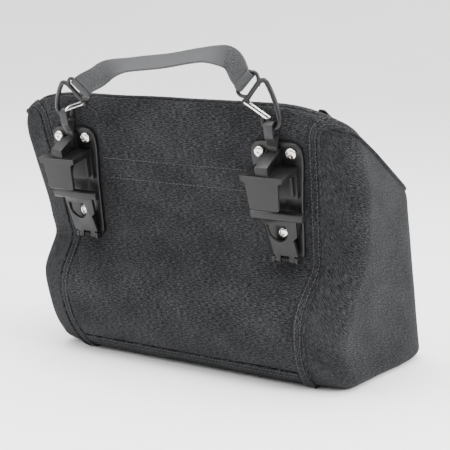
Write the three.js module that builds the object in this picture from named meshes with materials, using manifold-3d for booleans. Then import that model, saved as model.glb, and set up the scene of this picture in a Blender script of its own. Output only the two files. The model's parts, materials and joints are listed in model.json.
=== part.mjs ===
// A soft-sided clip-on luggage bag with two spring-latched rail hooks and a release handle.
// Millimetres, +Z up. The bag stands on z = 0, the hooks face -Y and the sloped lid faces +Y.
import * as THREE from 'three';
import { mergeVertices } from 'three/addons/utils/BufferGeometryUtils.js';
import Module from 'manifold-3d';

const wasm = await Module();
wasm.setup();

// ---- driving dimensions of the bag -------------------------------------------------------
const GAP = 0.35;              // clearance kept between neighbouring pieces
const WALL = 6;                // padded fabric wall
const BAND = 1.3;              // felled seam band, standing proud of the wall
const BAG_HEIGHT = 266;        // top edge of the back panel at the centre
const LOFT_TOP = 282;          // the body is lofted to here, then its sloped top is cut
const FOOT_ROUND = 12;         // rounding of the body where it meets the floor
const TOP_SLOPE = 0.57;        // fall of the lid per millimetre towards the front
const TOP_START = 12;          // depth at which the slope starts
const CROWN_START = 105;       // half width where the top edge starts to fall away
const CROWN_SPAN = 80;
const CROWN_DROP = 18;
const FRONT_FOOT = 204;        // depth of the front face at the floor
const FRONT_LEAN = 0.30;       // the front face leans back by this much per millimetre up
const END_X = 180;             // half width at the front corner
const FRONT_CORNER = 34;       // rounding of the vertical front corners
const RIDGE_CORNER = 13;
const SEAM_FOOT = 122.5;       // half width of the back panel's seam at the floor
const SEAM_FLARE = 0.085;      // the seam opens by this much per millimetre up
const BASE_SEAM = 18;          // height of the seam between base and back panel
const SPLIT_DEPTH = 75;        // back and front panels are told apart at this depth

// [height, value] tables of the body, read by smooth interpolation
const BACK_DEPTH = [[0, 42], [12, 32], [30, 18.5], [50, 10], [70, 7], [85, 11.5], [100, 23],
  [116, 34], [135, 29.8], [160, 23.5], [200, 13.5], [240, 3.4], [262, 1], [282, 1]];
const RIDGE_X = [[0, 167], [45, 166], [80, 173], [105, 174], [140, 180], [200, 185.5],
  [225, 184.3], [282, 174]];
const RIDGE_DEPTH = [[0, 10], [40, 12], [70, 14.5], [100, 9], [120, 11], [150, 15], [200, 11],
  [225, 7], [282, 6]];

// ---- driving dimensions of the lid and its zip -------------------------------------------
const LID_HALF = 140;
const LID_BACK = 56;           // distance down the slope from the back edge to the hinge line
const LID_FRONT = 148;
const LID_CORNER = 24;
const CHAIN_WIDTH = 2.6;
const CHAIN_HEIGHT = 1.5;
const SLIDER_AT = 41;          // parked position down the slope

// ---- driving dimensions of the rail hooks ------------------------------------------------
const HOOK_X = 111.5;          // hooks sit this far from the middle
const HOOK_DEPTH = 18.5;       // point of the back panel behind the hook origin
const HOOK_HEIGHT = 180;
const HOOK_TILT = THREE.MathUtils.degToRad(14.1);
const BASE_THICK = 5;
const BOARD_N = -WALL - 1;      // outer face of the stiffener inside the back panel
const BOARD_THICK = 2.2;
const WALL_N = 36;             // front of the claw, measured off the panel
const CLAW_THICK = 3.6;
const ROOF_N = 33;             // front of the channel on top of the claw
const INSERT_N = 13.6;
const SHELF_W = 28.5;          // underside of the claw's shelf
const BAR_N = 22;              // front of the latch bar
const BAR_LEFT = 23;
const BAR_RIGHT = 28;
const LATCH_PIN_N = 8.6;
const LATCH_PIN_W = -56;
const PIN_R = 1.5;
const SCREW_HEAD_R = 5.25;
const SCREW_R = 2.5;
const SCREWS = [[-15.5, 45], [15.5, 45], [0, -31]];
const TAB_N = 8.4;             // centre plane of the release tab
const TAB_WIDTH = 8.4;
const TAB_STRAP = 1.7;

// ---- driving dimensions of the handle ----------------------------------------------------
const WIRE_R = 2.4;            // section of the snap hooks
const GATE_R = 0.8;
const STRAP_WIDTH = 20;
const STRAP_THICK = 2;
const EYE_BAR_R = 1.8;

const rad = THREE.MathUtils.degToRad;
const MATERIALS = {
  fabric: new THREE.MeshStandardMaterial({ color: 0x3a3a3c, roughness: 0.95, metalness: 0 }),
  board: new THREE.MeshStandardMaterial({ color: 0x1c1c1e, roughness: 0.7, metalness: 0 }),
  plastic: new THREE.MeshStandardMaterial({ color: 0x161617, roughness: 0.45, metalness: 0 }),
  steel: new THREE.MeshStandardMaterial({ color: 0xc9c6c0, roughness: 0.25, metalness: 1 }),
  webbing: new THREE.MeshStandardMaterial({ color: 0x5a5b5d, roughness: 0.8, metalness: 0 }),
  rubber: new THREE.MeshStandardMaterial({ color: 0x0d0d0e, roughness: 0.6, metalness: 0 }),
};

// ---- solids ------------------------------------------------------------------------------
function toSolid(geometry) {
  const bare = geometry.clone();
  bare.deleteAttribute('normal');
  bare.deleteAttribute('uv');
  const merged = mergeVertices(bare, 1e-4);
  const vertProperties = new Float32Array(merged.attributes.position.array);
  const triVerts = new Uint32Array(merged.index.array);
  const solid = new wasm.Manifold(new wasm.Mesh({ numProp: 3, vertProperties, triVerts }));
  if (solid.volume() > 0) {
    return solid;
  }
  for (let i = 0; i < triVerts.length; i += 3) {
    [triVerts[i], triVerts[i + 1]] = [triVerts[i + 1], triVerts[i]];
  }
  return new wasm.Manifold(new wasm.Mesh({ numProp: 3, vertProperties, triVerts }));
}

function toGeometry(solid) {
  const mesh = solid.getMesh();
  const geometry = new THREE.BufferGeometry();
  geometry.setAttribute('position', new THREE.BufferAttribute(new Float32Array(mesh.vertProperties), 3));
  geometry.setIndex(new THREE.BufferAttribute(new Uint32Array(mesh.triVerts), 1));
  geometry.computeVertexNormals();
  return geometry;
}

function box(x0, x1, y0, y1, z0, z1) {
  const geometry = new THREE.BoxGeometry(x1 - x0, y1 - y0, z1 - z0);
  return toSolid(geometry.translate((x0 + x1) / 2, (y0 + y1) / 2, (z0 + z1) / 2));
}

// A flat outline given as corners [x, y, radius], drawn with round corners.
function roundedShape(corners) {
  const shape = new THREE.Shape();
  const count = corners.length;
  corners.forEach(([x, y, radius = 0], i) => {
    const here = new THREE.Vector2(x, y);
    const before = new THREE.Vector2(...corners[(i + count - 1) % count]).sub(here).normalize();
    const after = new THREE.Vector2(...corners[(i + 1) % count]).sub(here).normalize();
    const start = here.clone().addScaledVector(before, radius);
    const end = here.clone().addScaledVector(after, radius);
    if (i === 0) {
      shape.moveTo(start.x, start.y);
    } else {
      shape.lineTo(start.x, start.y);
    }
    if (radius > 0) {
      shape.quadraticCurveTo(x, y, end.x, end.y);
    }
  });
  shape.closePath();
  return shape;
}

// A plate of that outline from z0 to z1, with an optional chamfered rim.
function plate(corners, z0, z1, bevel = 0) {
  const geometry = new THREE.ExtrudeGeometry(roundedShape(corners), {
    depth: z1 - z0 - 2 * bevel,
    bevelEnabled: bevel > 0,
    bevelThickness: bevel,
    bevelSize: bevel,
    bevelOffset: -bevel,
    bevelSegments: 1,
    curveSegments: 3,
  });
  return toSolid(geometry.translate(0, 0, z0 + bevel));
}

// A closed tube through points in space.
function tube(points, radius, sides, steps) {
  const path = new THREE.CatmullRomCurve3(points.map((p) => new THREE.Vector3(...p)));
  const section = new THREE.Shape();
  for (let i = 0; i < sides; i += 1) {
    const angle = (2 * Math.PI * i) / sides;
    const x = radius * Math.cos(angle);
    const y = radius * Math.sin(angle);
    if (i === 0) {
      section.moveTo(x, y);
    } else {
      section.lineTo(x, y);
    }
  }
  section.closePath();
  return toSolid(new THREE.ExtrudeGeometry(section, { extrudePath: path, steps, curveSegments: 1 }));
}

// Skin of a stack of rings with the same number of points, closed by a fan at each end.
function loft(rings) {
  const sides = rings[0].length;
  const vertices = rings.flat();
  const index = [];
  for (let r = 0; r + 1 < rings.length; r += 1) {
    for (let i = 0; i < sides; i += 1) {
      const a = r * sides + i;
      const b = r * sides + ((i + 1) % sides);
      index.push(a, b, b + sides, a, b + sides, a + sides);
    }
  }
  for (const [ring, first] of [[0, true], [rings.length - 1, false]]) {
    const centre = new THREE.Vector3();
    rings[ring].forEach((p) => centre.addScaledVector(p, 1 / sides));
    vertices.push(centre);
    for (let i = 0; i < sides; i += 1) {
      const a = ring * sides + i;
      const b = ring * sides + ((i + 1) % sides);
      index.push(vertices.length - 1, ...(first ? [b, a] : [a, b]));
    }
  }
  const geometry = new THREE.BufferGeometry();
  const flat = new Float32Array(vertices.flatMap((p) => [p.x, p.y, p.z]));
  geometry.setAttribute('position', new THREE.BufferAttribute(flat, 3));
  geometry.setIndex(index);
  return toSolid(geometry);
}

// ---- the body's surface ------------------------------------------------------------------
// Smooth (Hermite) reading of a [position, value] table.
function read(table, at) {
  const last = table.length - 1;
  let i = 0;
  while (i < last - 1 && at > table[i + 1][0]) {
    i += 1;
  }
  const slope = (k) => {
    const a = table[Math.max(k - 1, 0)];
    const b = table[Math.min(k + 1, last)];
    return (b[1] - a[1]) / (b[0] - a[0]);
  };
  const [p0, v0] = table[i];
  const [p1, v1] = table[i + 1];
  const span = p1 - p0;
  const t = THREE.MathUtils.clamp((at - p0) / span, 0, 1);
  const rise = t * t * (3 - 2 * t);
  const start = t * (1 - t) * (1 - t) * span * slope(i);
  const end = t * t * (t - 1) * span * slope(i + 1);
  return v0 + (v1 - v0) * rise + start + end;
}

function seamX(z) {
  return SEAM_FOOT + SEAM_FLARE * z;
}

// How far the body draws in where it rounds under onto the floor.
function footInset(z) {
  const rest = Math.max(FOOT_ROUND - z, 0);
  return FOOT_ROUND - Math.sqrt(FOOT_ROUND * FOOT_ROUND - rest * rest);
}

// Horizontal outline of the body at a height, drawn in by inset: back seam, ridge, front corner.
function bodyRing(z, inset) {
  const draw = inset + footInset(Math.max(z - Math.max(inset, 0), 0));
  const back = read(BACK_DEPTH, z) + draw;
  const ridge = [read(RIDGE_X, z) - draw, back + read(RIDGE_DEPTH, z)];
  const front = FRONT_FOOT - FRONT_LEAN * z - draw;
  const corners = [[0, back, 0], [seamX(z), back, 18], [...ridge, RIDGE_CORNER],
    [END_X - draw, front, FRONT_CORNER], [0, front, 0]];
  const half = [];
  for (let i = 1; i < corners.length - 1; i += 1) {
    const here = new THREE.Vector2(corners[i][0], corners[i][1]);
    const before = new THREE.Vector2(corners[i - 1][0], corners[i - 1][1]).sub(here).normalize();
    const after = new THREE.Vector2(corners[i + 1][0], corners[i + 1][1]).sub(here).normalize();
    const start = here.clone().addScaledVector(before, corners[i][2]);
    const end = here.clone().addScaledVector(after, corners[i][2]);
    const bend = new THREE.QuadraticBezierCurve(start, here, end);
    half.push(...bend.getPoints(i === 1 ? 2 : 3));
  }
  const right = half.map((p) => new THREE.Vector3(p.x, p.y, z));
  const left = half.map((p) => new THREE.Vector3(-p.x, p.y, z)).reverse();
  return [...right, ...left];
}

function body(inset, z0 = inset) {
  const heights = [0, 3, 7, 12, 22, 34, 48, 70, 84, 95, 106, 118, 130, 160, 200, 240]
    .map((h) => z0 + (h * (LOFT_TOP - z0)) / LOFT_TOP);
  heights.push(LOFT_TOP);
  return loft(heights.map((z) => bodyRing(z, inset)));
}

// Height of the lid's surface above the floor.
function topZ(x, y) {
  const slope = BAG_HEIGHT - TOP_SLOPE * (y - TOP_START);
  const level = BAG_HEIGHT;
  const soft = 3;
  const eased = -soft * Math.log(Math.exp((slope - level) / -soft) + 1) + level;
  const aside = Math.max(Math.abs(x) - CROWN_START, 0) / CROWN_SPAN;
  return eased - CROWN_DROP * aside * aside;
}

// Everything above the lid's surface, moved up or down by offset.
function above(offset) {
  const xs = [-210, -170, -145, -125, -105, 0, 105, 125, 145, 170, 210];
  const ys = [-20, 3, 12, 22, 60, 110, 160, 240];
  const rings = ys.map((y) => [
    ...xs.map((x) => new THREE.Vector3(x, y, topZ(x, y) + offset)),
    new THREE.Vector3(210, y, 420),
    new THREE.Vector3(-210, y, 420),
  ]);
  return loft(rings.reverse());
}

// A block between the two seams, or outside the right-hand one; grow widens it at the seam.
function betweenSeams(y0, y1, z0, z1, grow = 0) {
  const corners = [[-seamX(z0) - grow, z0], [seamX(z0) + grow, z0], [seamX(z1) + grow, z1],
    [-seamX(z1) - grow, z1]];
  const geometry = new THREE.ExtrudeGeometry(roundedShape(corners), { depth: y1 - y0, bevelEnabled: false });
  return toSolid(geometry.rotateX(Math.PI / 2).translate(0, y1, 0));
}

const outer = body(0, 0).subtract(above(0));
const inner = body(WALL).subtract(above(-WALL * 1.15));
const shell = outer.subtract(inner);
const CUT = -WALL * 1.15 - 1;  // the top panel is parted from the walls at this level
const topShell = shell.intersect(above(CUT + GAP));
const walls = shell.subtract(above(CUT));
const FAR = 300;

// Lid outline seen square to the floor: back edge on the hinge line, round front corners.
const SLOPE_ANGLE = Math.atan(TOP_SLOPE);
const ALONG = new THREE.Vector3(0, Math.cos(SLOPE_ANGLE), -Math.sin(SLOPE_ANGLE));
const NORMAL = new THREE.Vector3(0, Math.sin(SLOPE_ANGLE), Math.cos(SLOPE_ANGLE));

// A prism standing square on the slope: u is across the bag, v is the distance down the slope.
function slopePrism(corners, low = -40, high = 40) {
  const geometry = new THREE.ExtrudeGeometry(roundedShape(corners), {
    depth: high - low, bevelEnabled: false, curveSegments: 5,
  });
  geometry.translate(0, 0, low);
  const basis = new THREE.Matrix4().makeBasis(new THREE.Vector3(1, 0, 0), ALONG, NORMAL);
  basis.setPosition(0, TOP_START, BAG_HEIGHT);
  geometry.applyMatrix4(basis);
  return toSolid(geometry);
}

function lidOutline(grow, back = LID_BACK) {
  return [[-LID_HALF - grow, back], [LID_HALF + grow, back],
    [LID_HALF + grow, LID_FRONT + grow, LID_CORNER + grow],
    [-LID_HALF - grow, LID_FRONT + grow, LID_CORNER + grow]];
}

const root = new THREE.Group();
const WORLD = new THREE.Group();
WORLD.add(root);

function node(parent, name, solid, material) {
  const mesh = new THREE.Mesh(toGeometry(solid), material);
  mesh.name = name;
  parent.add(mesh);
  return mesh;
}

const SIDES = [['left', -1], ['right', 1]];

// A point of a hook's own frame (across, up the panel, off the panel) as a place in the bag.
function hookMatrix(side) {
  const matrix = new THREE.Matrix4().makeRotationX(Math.PI / 2 + HOOK_TILT);
  matrix.setPosition(side * HOOK_X, HOOK_DEPTH, HOOK_HEIGHT);
  return matrix;
}

function transformed(solid, matrix) {
  return toSolid(toGeometry(solid).applyMatrix4(matrix));
}

// A round bar square to the panel, in a hook's frame.
function panelBar(x, w, radius, n0, n1, sides = 16) {
  const geometry = new THREE.CylinderGeometry(radius, radius, n1 - n0, sides);
  return toSolid(geometry.rotateX(Math.PI / 2).translate(x, w, (n0 + n1) / 2));
}

function screwHoles(radius, n0, n1) {
  return SCREWS.map(([x, w]) => panelBar(x, w, radius, n0, n1, 12));
}

// ---- the bag -----------------------------------------------------------------------------
function buildPanels() {
  const middle = (y0, y1, z0, z1) => walls.intersect(betweenSeams(y0, y1, z0, z1));
  let back = middle(-40, SPLIT_DEPTH, BASE_SEAM + GAP, FAR);
  for (const [, side] of SIDES) {
    for (const hole of screwHoles(SCREW_R + GAP, -20, 20)) {
      back = back.subtract(transformed(hole, hookMatrix(side)));
    }
  }
  node(root, 'back_panel', back, MATERIALS.fabric);
  node(root, 'front_panel', middle(SPLIT_DEPTH, FAR, BASE_SEAM + GAP, FAR), MATERIALS.fabric);
  node(root, 'base_panel', middle(-40, FAR, -10, BASE_SEAM), MATERIALS.fabric);
  const ends = walls.subtract(betweenSeams(-40, FAR, -10, FAR, GAP));
  node(root, 'end_panel_left', ends.intersect(box(-FAR, -60, -60, FAR, -10, FAR)), MATERIALS.fabric);
  node(root, 'end_panel_right', ends.intersect(box(60, FAR, -60, FAR, -10, FAR)), MATERIALS.fabric);
  node(root, 'top_panel', topShell.subtract(slopePrism(lidOutline(GAP))), MATERIALS.fabric);
  node(root, 'lid_panel', topShell.intersect(slopePrism(lidOutline(0, LID_BACK + GAP))), MATERIALS.fabric);
}

function buildBands() {
  const skin = body(-BAND - GAP, 0).subtract(body(-GAP, -1)).subtract(above(CUT));
  const middle = betweenSeams(-40, SPLIT_DEPTH, BASE_SEAM - 12, FAR, -1);
  const outside = betweenSeams(-40, SPLIT_DEPTH, BASE_SEAM - 12, FAR, 10);
  const pair = skin.intersect(outside).subtract(middle);
  node(root, 'seam_band_left', pair.intersect(box(-FAR, -60, -60, 60, -10, FAR)), MATERIALS.fabric);
  node(root, 'seam_band_right', pair.intersect(box(60, FAR, -60, 60, -10, FAR)), MATERIALS.fabric);
  const low = skin.intersect(betweenSeams(-40, SPLIT_DEPTH, BASE_SEAM - 10, BASE_SEAM, -1 - GAP));
  node(root, 'seam_band_base', low, MATERIALS.fabric);
}

function buildZip() {
  const tape = above(GAP).subtract(above(CHAIN_HEIGHT + GAP));
  const tail = SLIDER_AT - 9;
  const shellRing = slopePrism(lidOutline(GAP + CHAIN_WIDTH, tail))
    .subtract(slopePrism(lidOutline(GAP, -60)));
  node(root, 'zip_tape_shell', tape.intersect(shellRing), MATERIALS.board);
  const back = LID_BACK + GAP;
  const lidRing = slopePrism(lidOutline(0, back)).subtract(slopePrism(lidOutline(-CHAIN_WIDTH, -60)));
  node(root, 'zip_tape_lid', tape.intersect(lidRing), MATERIALS.board);
}

function buildSlider() {
  const place = new THREE.Group();
  const x = LID_HALF + GAP / 2;
  const basis = new THREE.Matrix4().makeBasis(new THREE.Vector3(1, 0, 0), ALONG, NORMAL);
  basis.setPosition(x, TOP_START, topZ(x, FAR) - topZ(0, FAR) + BAG_HEIGHT);
  place.applyMatrix4(basis);
  root.add(place);
  const low = CHAIN_HEIGHT + 3 * GAP;
  const outline = [[-4, SLIDER_AT - 7, 2], [4, SLIDER_AT - 7, 2], [3, SLIDER_AT + 7, 2],
    [-3, SLIDER_AT + 7, 2]];
  const plateSolid = plate(outline, low, low + 2, 0.4);
  const bridge = box(-1.6, 1.6, SLIDER_AT - 5, SLIDER_AT - 3.4, low + 1, low + 5.6)
    .add(box(-1.6, 1.6, SLIDER_AT + 3.4, SLIDER_AT + 5, low + 1, low + 5.6))
    .add(box(-1.6, 1.6, SLIDER_AT - 5, SLIDER_AT + 5, low + 4.4, low + 5.6));
  node(place, 'zip_slider', plateSolid.add(bridge), MATERIALS.steel);
  const loop = plate([[-3.6, SLIDER_AT - 22, 3], [3.6, SLIDER_AT - 22, 3], [3.6, SLIDER_AT - 1.4],
    [-3.6, SLIDER_AT - 1.4]], low + 2.4, low + 3.9, 0.3);
  const eye = box(-2.1, 2.1, SLIDER_AT - 7, SLIDER_AT - 2.6, low, low + 6);
  node(place, 'zip_puller', loop.subtract(eye), MATERIALS.steel);
}

function buildInsides() {
  const tilted = new THREE.Group();
  tilted.applyMatrix4(hookMatrix(0));
  root.add(tilted);
  const outline = [[-126, -42, 12], [126, -42, 12], [128, 52, 12], [-128, 52, 12]];
  let board = plate(outline, BOARD_N - BOARD_THICK, BOARD_N);
  for (const [, side] of SIDES) {
    for (const [x, w] of SCREWS) {
      board = board.subtract(panelBar(side * HOOK_X + x, w, SCREW_R + GAP, BOARD_N - 6, BOARD_N + 4, 12));
    }
  }
  node(tilted, 'back_stiffener', board, MATERIALS.board);
  const floorZ = WALL + 2 * GAP;
  const base = plate([[-146, 68, 14], [146, 68, 14], [146, 174, 22], [-146, 174, 22]],
    floorZ, floorZ + BOARD_THICK);
  node(root, 'base_board', base, MATERIALS.board);
}

// ---- a rail hook, in its own frame: x across, y up the panel, z off the panel ---------------
function hookBase() {
  const outline = [[-13.5, -60, 7], [13.5, -60, 7], [16.5, -52], [21, 0], [25.5, 34, 4], [26, 54.5, 12],
    [-26, 54.5, 12], [-25.5, 34, 4], [-21, 0], [-16.5, -52]];
  let base = plate(outline, GAP, BASE_THICK, 0.8);
  const ear = [[LATCH_PIN_W - 3.4, BASE_THICK - 1], [LATCH_PIN_W + 4, BASE_THICK - 1],
    [LATCH_PIN_W + 3, LATCH_PIN_N + 3, 2], [LATCH_PIN_W - 3, LATCH_PIN_N + 3, 2]];
  for (const side of [-1, 1]) {
    base = base.add(sidePlate(ear, side * 11.6 - 1.2, side * 11.6 + 1.2));
  }
  const bore = toSolid(new THREE.CylinderGeometry(PIN_R + 0.05, PIN_R + 0.05, 60, 14).rotateZ(Math.PI / 2)
    .translate(0, LATCH_PIN_W, LATCH_PIN_N));
  base = base.subtract(bore);
  for (const hole of screwHoles(SCREW_R + GAP, -20, 20)) {
    base = base.subtract(hole);
  }
  return base;
}

// Side outline (up the panel, off the panel) pushed across by a width.
function sidePlate(outline, x0, x1) {
  const upright = new THREE.Matrix4().set(0, 0, 1, 0, 1, 0, 0, 0, 0, 1, 0, 0, 0, 0, 0, 1);
  const geometry = new THREE.ExtrudeGeometry(roundedShape(outline), {
    depth: x1 - x0, bevelEnabled: false, curveSegments: 3,
  });
  return toSolid(geometry.applyMatrix4(upright).translate(x0, 0, 0));
}

function hookClaw() {
  const foot = BASE_THICK + GAP;
  const shelf = plate([[-20.5, SHELF_W], [20.5, SHELF_W], [20.5, SHELF_W + 5], [-20.5, SHELF_W + 5]],
    foot, WALL_N, 0.4);
  const wing = plate([[-14.5, 2.5, 2], [14.5, 2.5, 2], [16, 26], [20.5, 31], [20.5, SHELF_W + 4], [-20.5, SHELF_W + 4],
    [-20.5, 31], [-16, 26]], WALL_N - CLAW_THICK, WALL_N, 0.5);
  const roof = sidePlate([[SHELF_W + 3, foot], [50, foot, 1.5], [41, ROOF_N, 1],
    [SHELF_W + 3, ROOF_N]], -6.2, 6.2);
  const back = plate([[-19, 4], [19, 4], [20.5, SHELF_W + 2], [-20.5, SHELF_W + 2]], foot, INSERT_N - 4.6);
  const channel = box(-TAB_WIDTH / 2 - 0.6, TAB_WIDTH / 2 + 0.6, SHELF_W - 60, 80, foot - 1, TAB_N + 5.2);
  const recess = [[SHELF_W + 6.5, foot + 5], [46.5, foot + 4.5], [40, ROOF_N - 4],
    [SHELF_W + 6.5, ROOF_N - 4]];
  const web = sidePlate(recess, -8, -2.4).add(sidePlate(recess, 2.4, 8));
  let claw = shelf.add(wing).add(roof).add(back).subtract(web);
  claw = claw.subtract(channel);
  for (const x of [-13, 13]) {
    claw = claw.add(sidePlate([[16, WALL_N - CLAW_THICK + 0.4], [SHELF_W + 1, WALL_N - CLAW_THICK + 0.4],
      [SHELF_W + 1, WALL_N - 12]], x - 1, x + 1));
  }
  return claw;
}

// Reducer that takes up the play round a thinner rail: two cheeks joined across the claw's back.
function railInsert() {
  const foot = INSERT_N - 4.6 + GAP;
  const top = SHELF_W - GAP;
  const pad = plate([[-16.8, 5.5, 2], [16.8, 5.5, 2], [16.8, top, 1], [-16.8, top, 1]],
    foot + 2.2, INSERT_N, 0.5);
  const cheeks = plate([[-16, 6.5], [-6, 6.5], [-6, SHELF_W - 1], [-16, SHELF_W - 1]], foot, foot + 3)
    .add(plate([[6, 6.5], [16, 6.5], [16, SHELF_W - 1], [6, SHELF_W - 1]], foot, foot + 3));
  return pad.add(cheeks);
}

// Latch: a round-nosed bar under the rail, and a tongue with a window over the lower screw.
function latchFlap() {
  const bar = sidePlate([[-13.2, BAR_N - 6, 1.5], [-4.6, BAR_N - 6, 1.5], [-4.6, BAR_N, 3],
    [-13.2, BAR_N, 3]], -BAR_LEFT, BAR_RIGHT);
  const thick = 3;
  const topN = BAR_N - 2.4;
  const lowN = LATCH_PIN_N + 1.6;
  const face = sidePlate([[-12, topN], [-12, topN - thick], [LATCH_PIN_W, lowN - thick],
    [LATCH_PIN_W, lowN]], -21, 21);
  const profile = plate([[-9.9, -57.5, 1], [9.9, -57.5, 1], [10, -51.2], [13.6, -51.2], [13.6, -36],
    [12.6, -34, 0.5], [17.8, -29.5, 0.5], [20.5, -12], [-12, -12], [-13.6, -51.2], [-10, -51.2]], 0, 40);
  const hub = toSolid(new THREE.CylinderGeometry(3, 3, 19.6, 14).rotateZ(Math.PI / 2)
    .translate(0, LATCH_PIN_W, LATCH_PIN_N));
  const window = plate([[-10.4, -18.5, 1], [-10.8, -31, 5], [-1, -38.4, 5], [9, -31, 6],
    [9, -18.5, 2]], 0, 40);
  const slot = toSolid(new THREE.CylinderGeometry(PIN_R + 0.05, PIN_R + 0.05, 60, 14).rotateZ(Math.PI / 2)
    .translate(0, LATCH_PIN_W, LATCH_PIN_N));
  const coilRoom = box(-4.4, 4.4, LATCH_PIN_W - 8, LATCH_PIN_W + 4.6, 0, lowN + 8);
  return face.intersect(profile).add(bar).add(hub).subtract(window).subtract(slot).subtract(coilRoom);
}

function latchPin() {
  return toSolid(new THREE.CylinderGeometry(PIN_R, PIN_R, 27, 12).rotateZ(Math.PI / 2)
    .translate(0, LATCH_PIN_W, LATCH_PIN_N));
}

// Torsion spring round the latch pin, with one leg up behind the tongue.
function latchSpring() {
  const radius = PIN_R + 0.9;
  const turns = 3;
  const points = [[-3.2, LATCH_PIN_W - radius, LATCH_PIN_N - 0.2]];
  for (let i = 0; i <= turns * 10; i += 1) {
    const angle = -Math.PI / 2 - (2 * Math.PI * i) / 10;
    points.push([-3.2 + (6.2 * i) / (turns * 10), LATCH_PIN_W + radius * Math.sin(angle),
      LATCH_PIN_N - radius * Math.cos(angle)]);
  }
  return tube(points.slice(1), 0.5, 5, 34);
}

// Release tab: a stem that runs down inside the claw, and a webbing loop for the snap hook.
function releaseTab() {
  const half = TAB_WIDTH / 2;
  const reach = WIRE_R + 1.2;
  const centre = 67.2;
  const round = (r) => [[centre - 7, TAB_N - r, 0], [centre + r + 1.4, TAB_N - r, r * 0.8],
    [centre + r + 1.4, TAB_N + r, r * 0.8], [centre - 7, TAB_N + r, 0]];
  const loop = sidePlate(round(reach + TAB_STRAP).reverse(), -half, half)
    .subtract(sidePlate(round(reach).reverse(), -half - 1, half + 1));
  const wide = reach + TAB_STRAP;
  const neck = sidePlate([[16, TAB_N - 1.6], [16, TAB_N + 1.6], [52, TAB_N + 1.6],
    [centre - 6.9, TAB_N + wide], [centre - 6.9, TAB_N - wide], [52, TAB_N - 1.6]].reverse(), -half, half);
  return loop.add(neck);
}

function screw() {
  const points = [[0, -16], [SCREW_R, -16], [SCREW_R, BASE_THICK + GAP], [SCREW_HEAD_R, BASE_THICK + GAP],
    [SCREW_HEAD_R, BASE_THICK + 1.6], [4, BASE_THICK + 3.2], [0, BASE_THICK + 3.9]];
  const turned = new THREE.LatheGeometry(points.map(([r, n]) => new THREE.Vector2(r, n)), 12);
  const blank = toSolid(turned.rotateX(Math.PI / 2));
  const cross = box(-2.4, 2.4, -0.5, 0.5, BASE_THICK + 2, BASE_THICK + 6)
    .add(box(-0.5, 0.5, -2.4, 2.4, BASE_THICK + 2, BASE_THICK + 6));
  return blank.subtract(cross);
}

function flangeNut() {
  const top = BOARD_N - BOARD_THICK - GAP;
  const flange = panelBar(0, 0, 5.6, top - 1.2, top, 12);
  const hex = panelBar(0, 0, 4.6, top - 4.6, top - 1, 6);
  return flange.add(hex).subtract(panelBar(0, 0, SCREW_R + GAP, top - 10, top + 10, 10));
}

function buildHook(name, side) {
  const group = new THREE.Group();
  group.applyMatrix4(hookMatrix(side));
  root.add(group);
  node(group, `hook_base_${name}`, hookBase(), MATERIALS.plastic);
  node(group, `hook_claw_${name}`, hookClaw(), MATERIALS.plastic);
  node(group, `rail_insert_${name}`, railInsert(), MATERIALS.plastic);
  node(group, `latch_${name}`, latchFlap(), MATERIALS.plastic);
  node(group, `latch_pin_${name}`, latchPin(), MATERIALS.steel);
  node(group, `latch_spring_${name}`, latchSpring(), MATERIALS.steel);
  node(group, `release_tab_${name}`, releaseTab(), MATERIALS.rubber);
  SCREWS.forEach(([x, w], i) => {
    const bolt = node(group, `hook_screw_${name}_${i + 1}`, screw(), MATERIALS.steel);
    bolt.position.set(x, w, 0);
    const nut = node(group, `hook_nut_${name}_${i + 1}`, flangeNut(), MATERIALS.steel);
    nut.position.set(x, w, 0);
  });
}

// ---- the release handle --------------------------------------------------------------------
// A snap hook lies in its own x-z plane, its lower bend round the origin, its strap eye inboard.
const SNAP_PATH = [[-10, 4.6], [-10.2, 0], [-8.8, -4.6], [-5.5, -6.8], [-1, -7], [3.4, -5.8], [6, -1], [4.6, 7],
  [0.5, 18], [-5, 29], [-9, 34], [-13, 33.6], [-19, 27], [-24, 20.5], [-28.6, 14.2]];
const SNAP_APEX = new THREE.Vector2(-10.5, 33);
const SNAP_PIVOT = new THREE.Vector2(-27.6, 14.8);
const EYE_OUT = 13.5;
const EYE_HALF = 12.6;

function snapHook() {
  const bend = tube(SNAP_PATH.map(([x, z]) => [x, 0, z]), WIRE_R, 7, 34);
  const along = SNAP_APEX.clone().sub(SNAP_PIVOT).normalize();
  const away = new THREE.Vector2(-along.y, along.x);
  const middle = SNAP_APEX.clone().add(SNAP_PIVOT).multiplyScalar(0.5);
  const spot = (u, v) => {
    const p = middle.clone().addScaledVector(along, u).addScaledVector(away, v);
    return [p.x, 0, p.y];
  };
  const ring = tube([spot(-6, 0.5), spot(-9, 3), spot(-EYE_HALF + 0.6, 7), spot(-EYE_HALF + 0.4, EYE_OUT - 2),
    spot(-EYE_HALF + 2.4, EYE_OUT), spot(-6, EYE_OUT), spot(0, EYE_OUT), spot(6, EYE_OUT),
    spot(EYE_HALF - 2.4, EYE_OUT), spot(EYE_HALF - 0.4, EYE_OUT - 2), spot(EYE_HALF - 0.6, 7),
    spot(9, 3), spot(6, 0.5)], EYE_BAR_R, 7, 30);
  const pin = (radius, length, sides) => toSolid(new THREE.CylinderGeometry(radius, radius, length, sides)
    .translate(SNAP_PIVOT.x, 0, SNAP_PIVOT.y));
  const boss = pin(3.1, 5.4, 12);
  const bore = pin(GATE_R + 0.3, 12, 10);
  return bend.add(ring).add(boss).subtract(bore);
}

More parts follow.
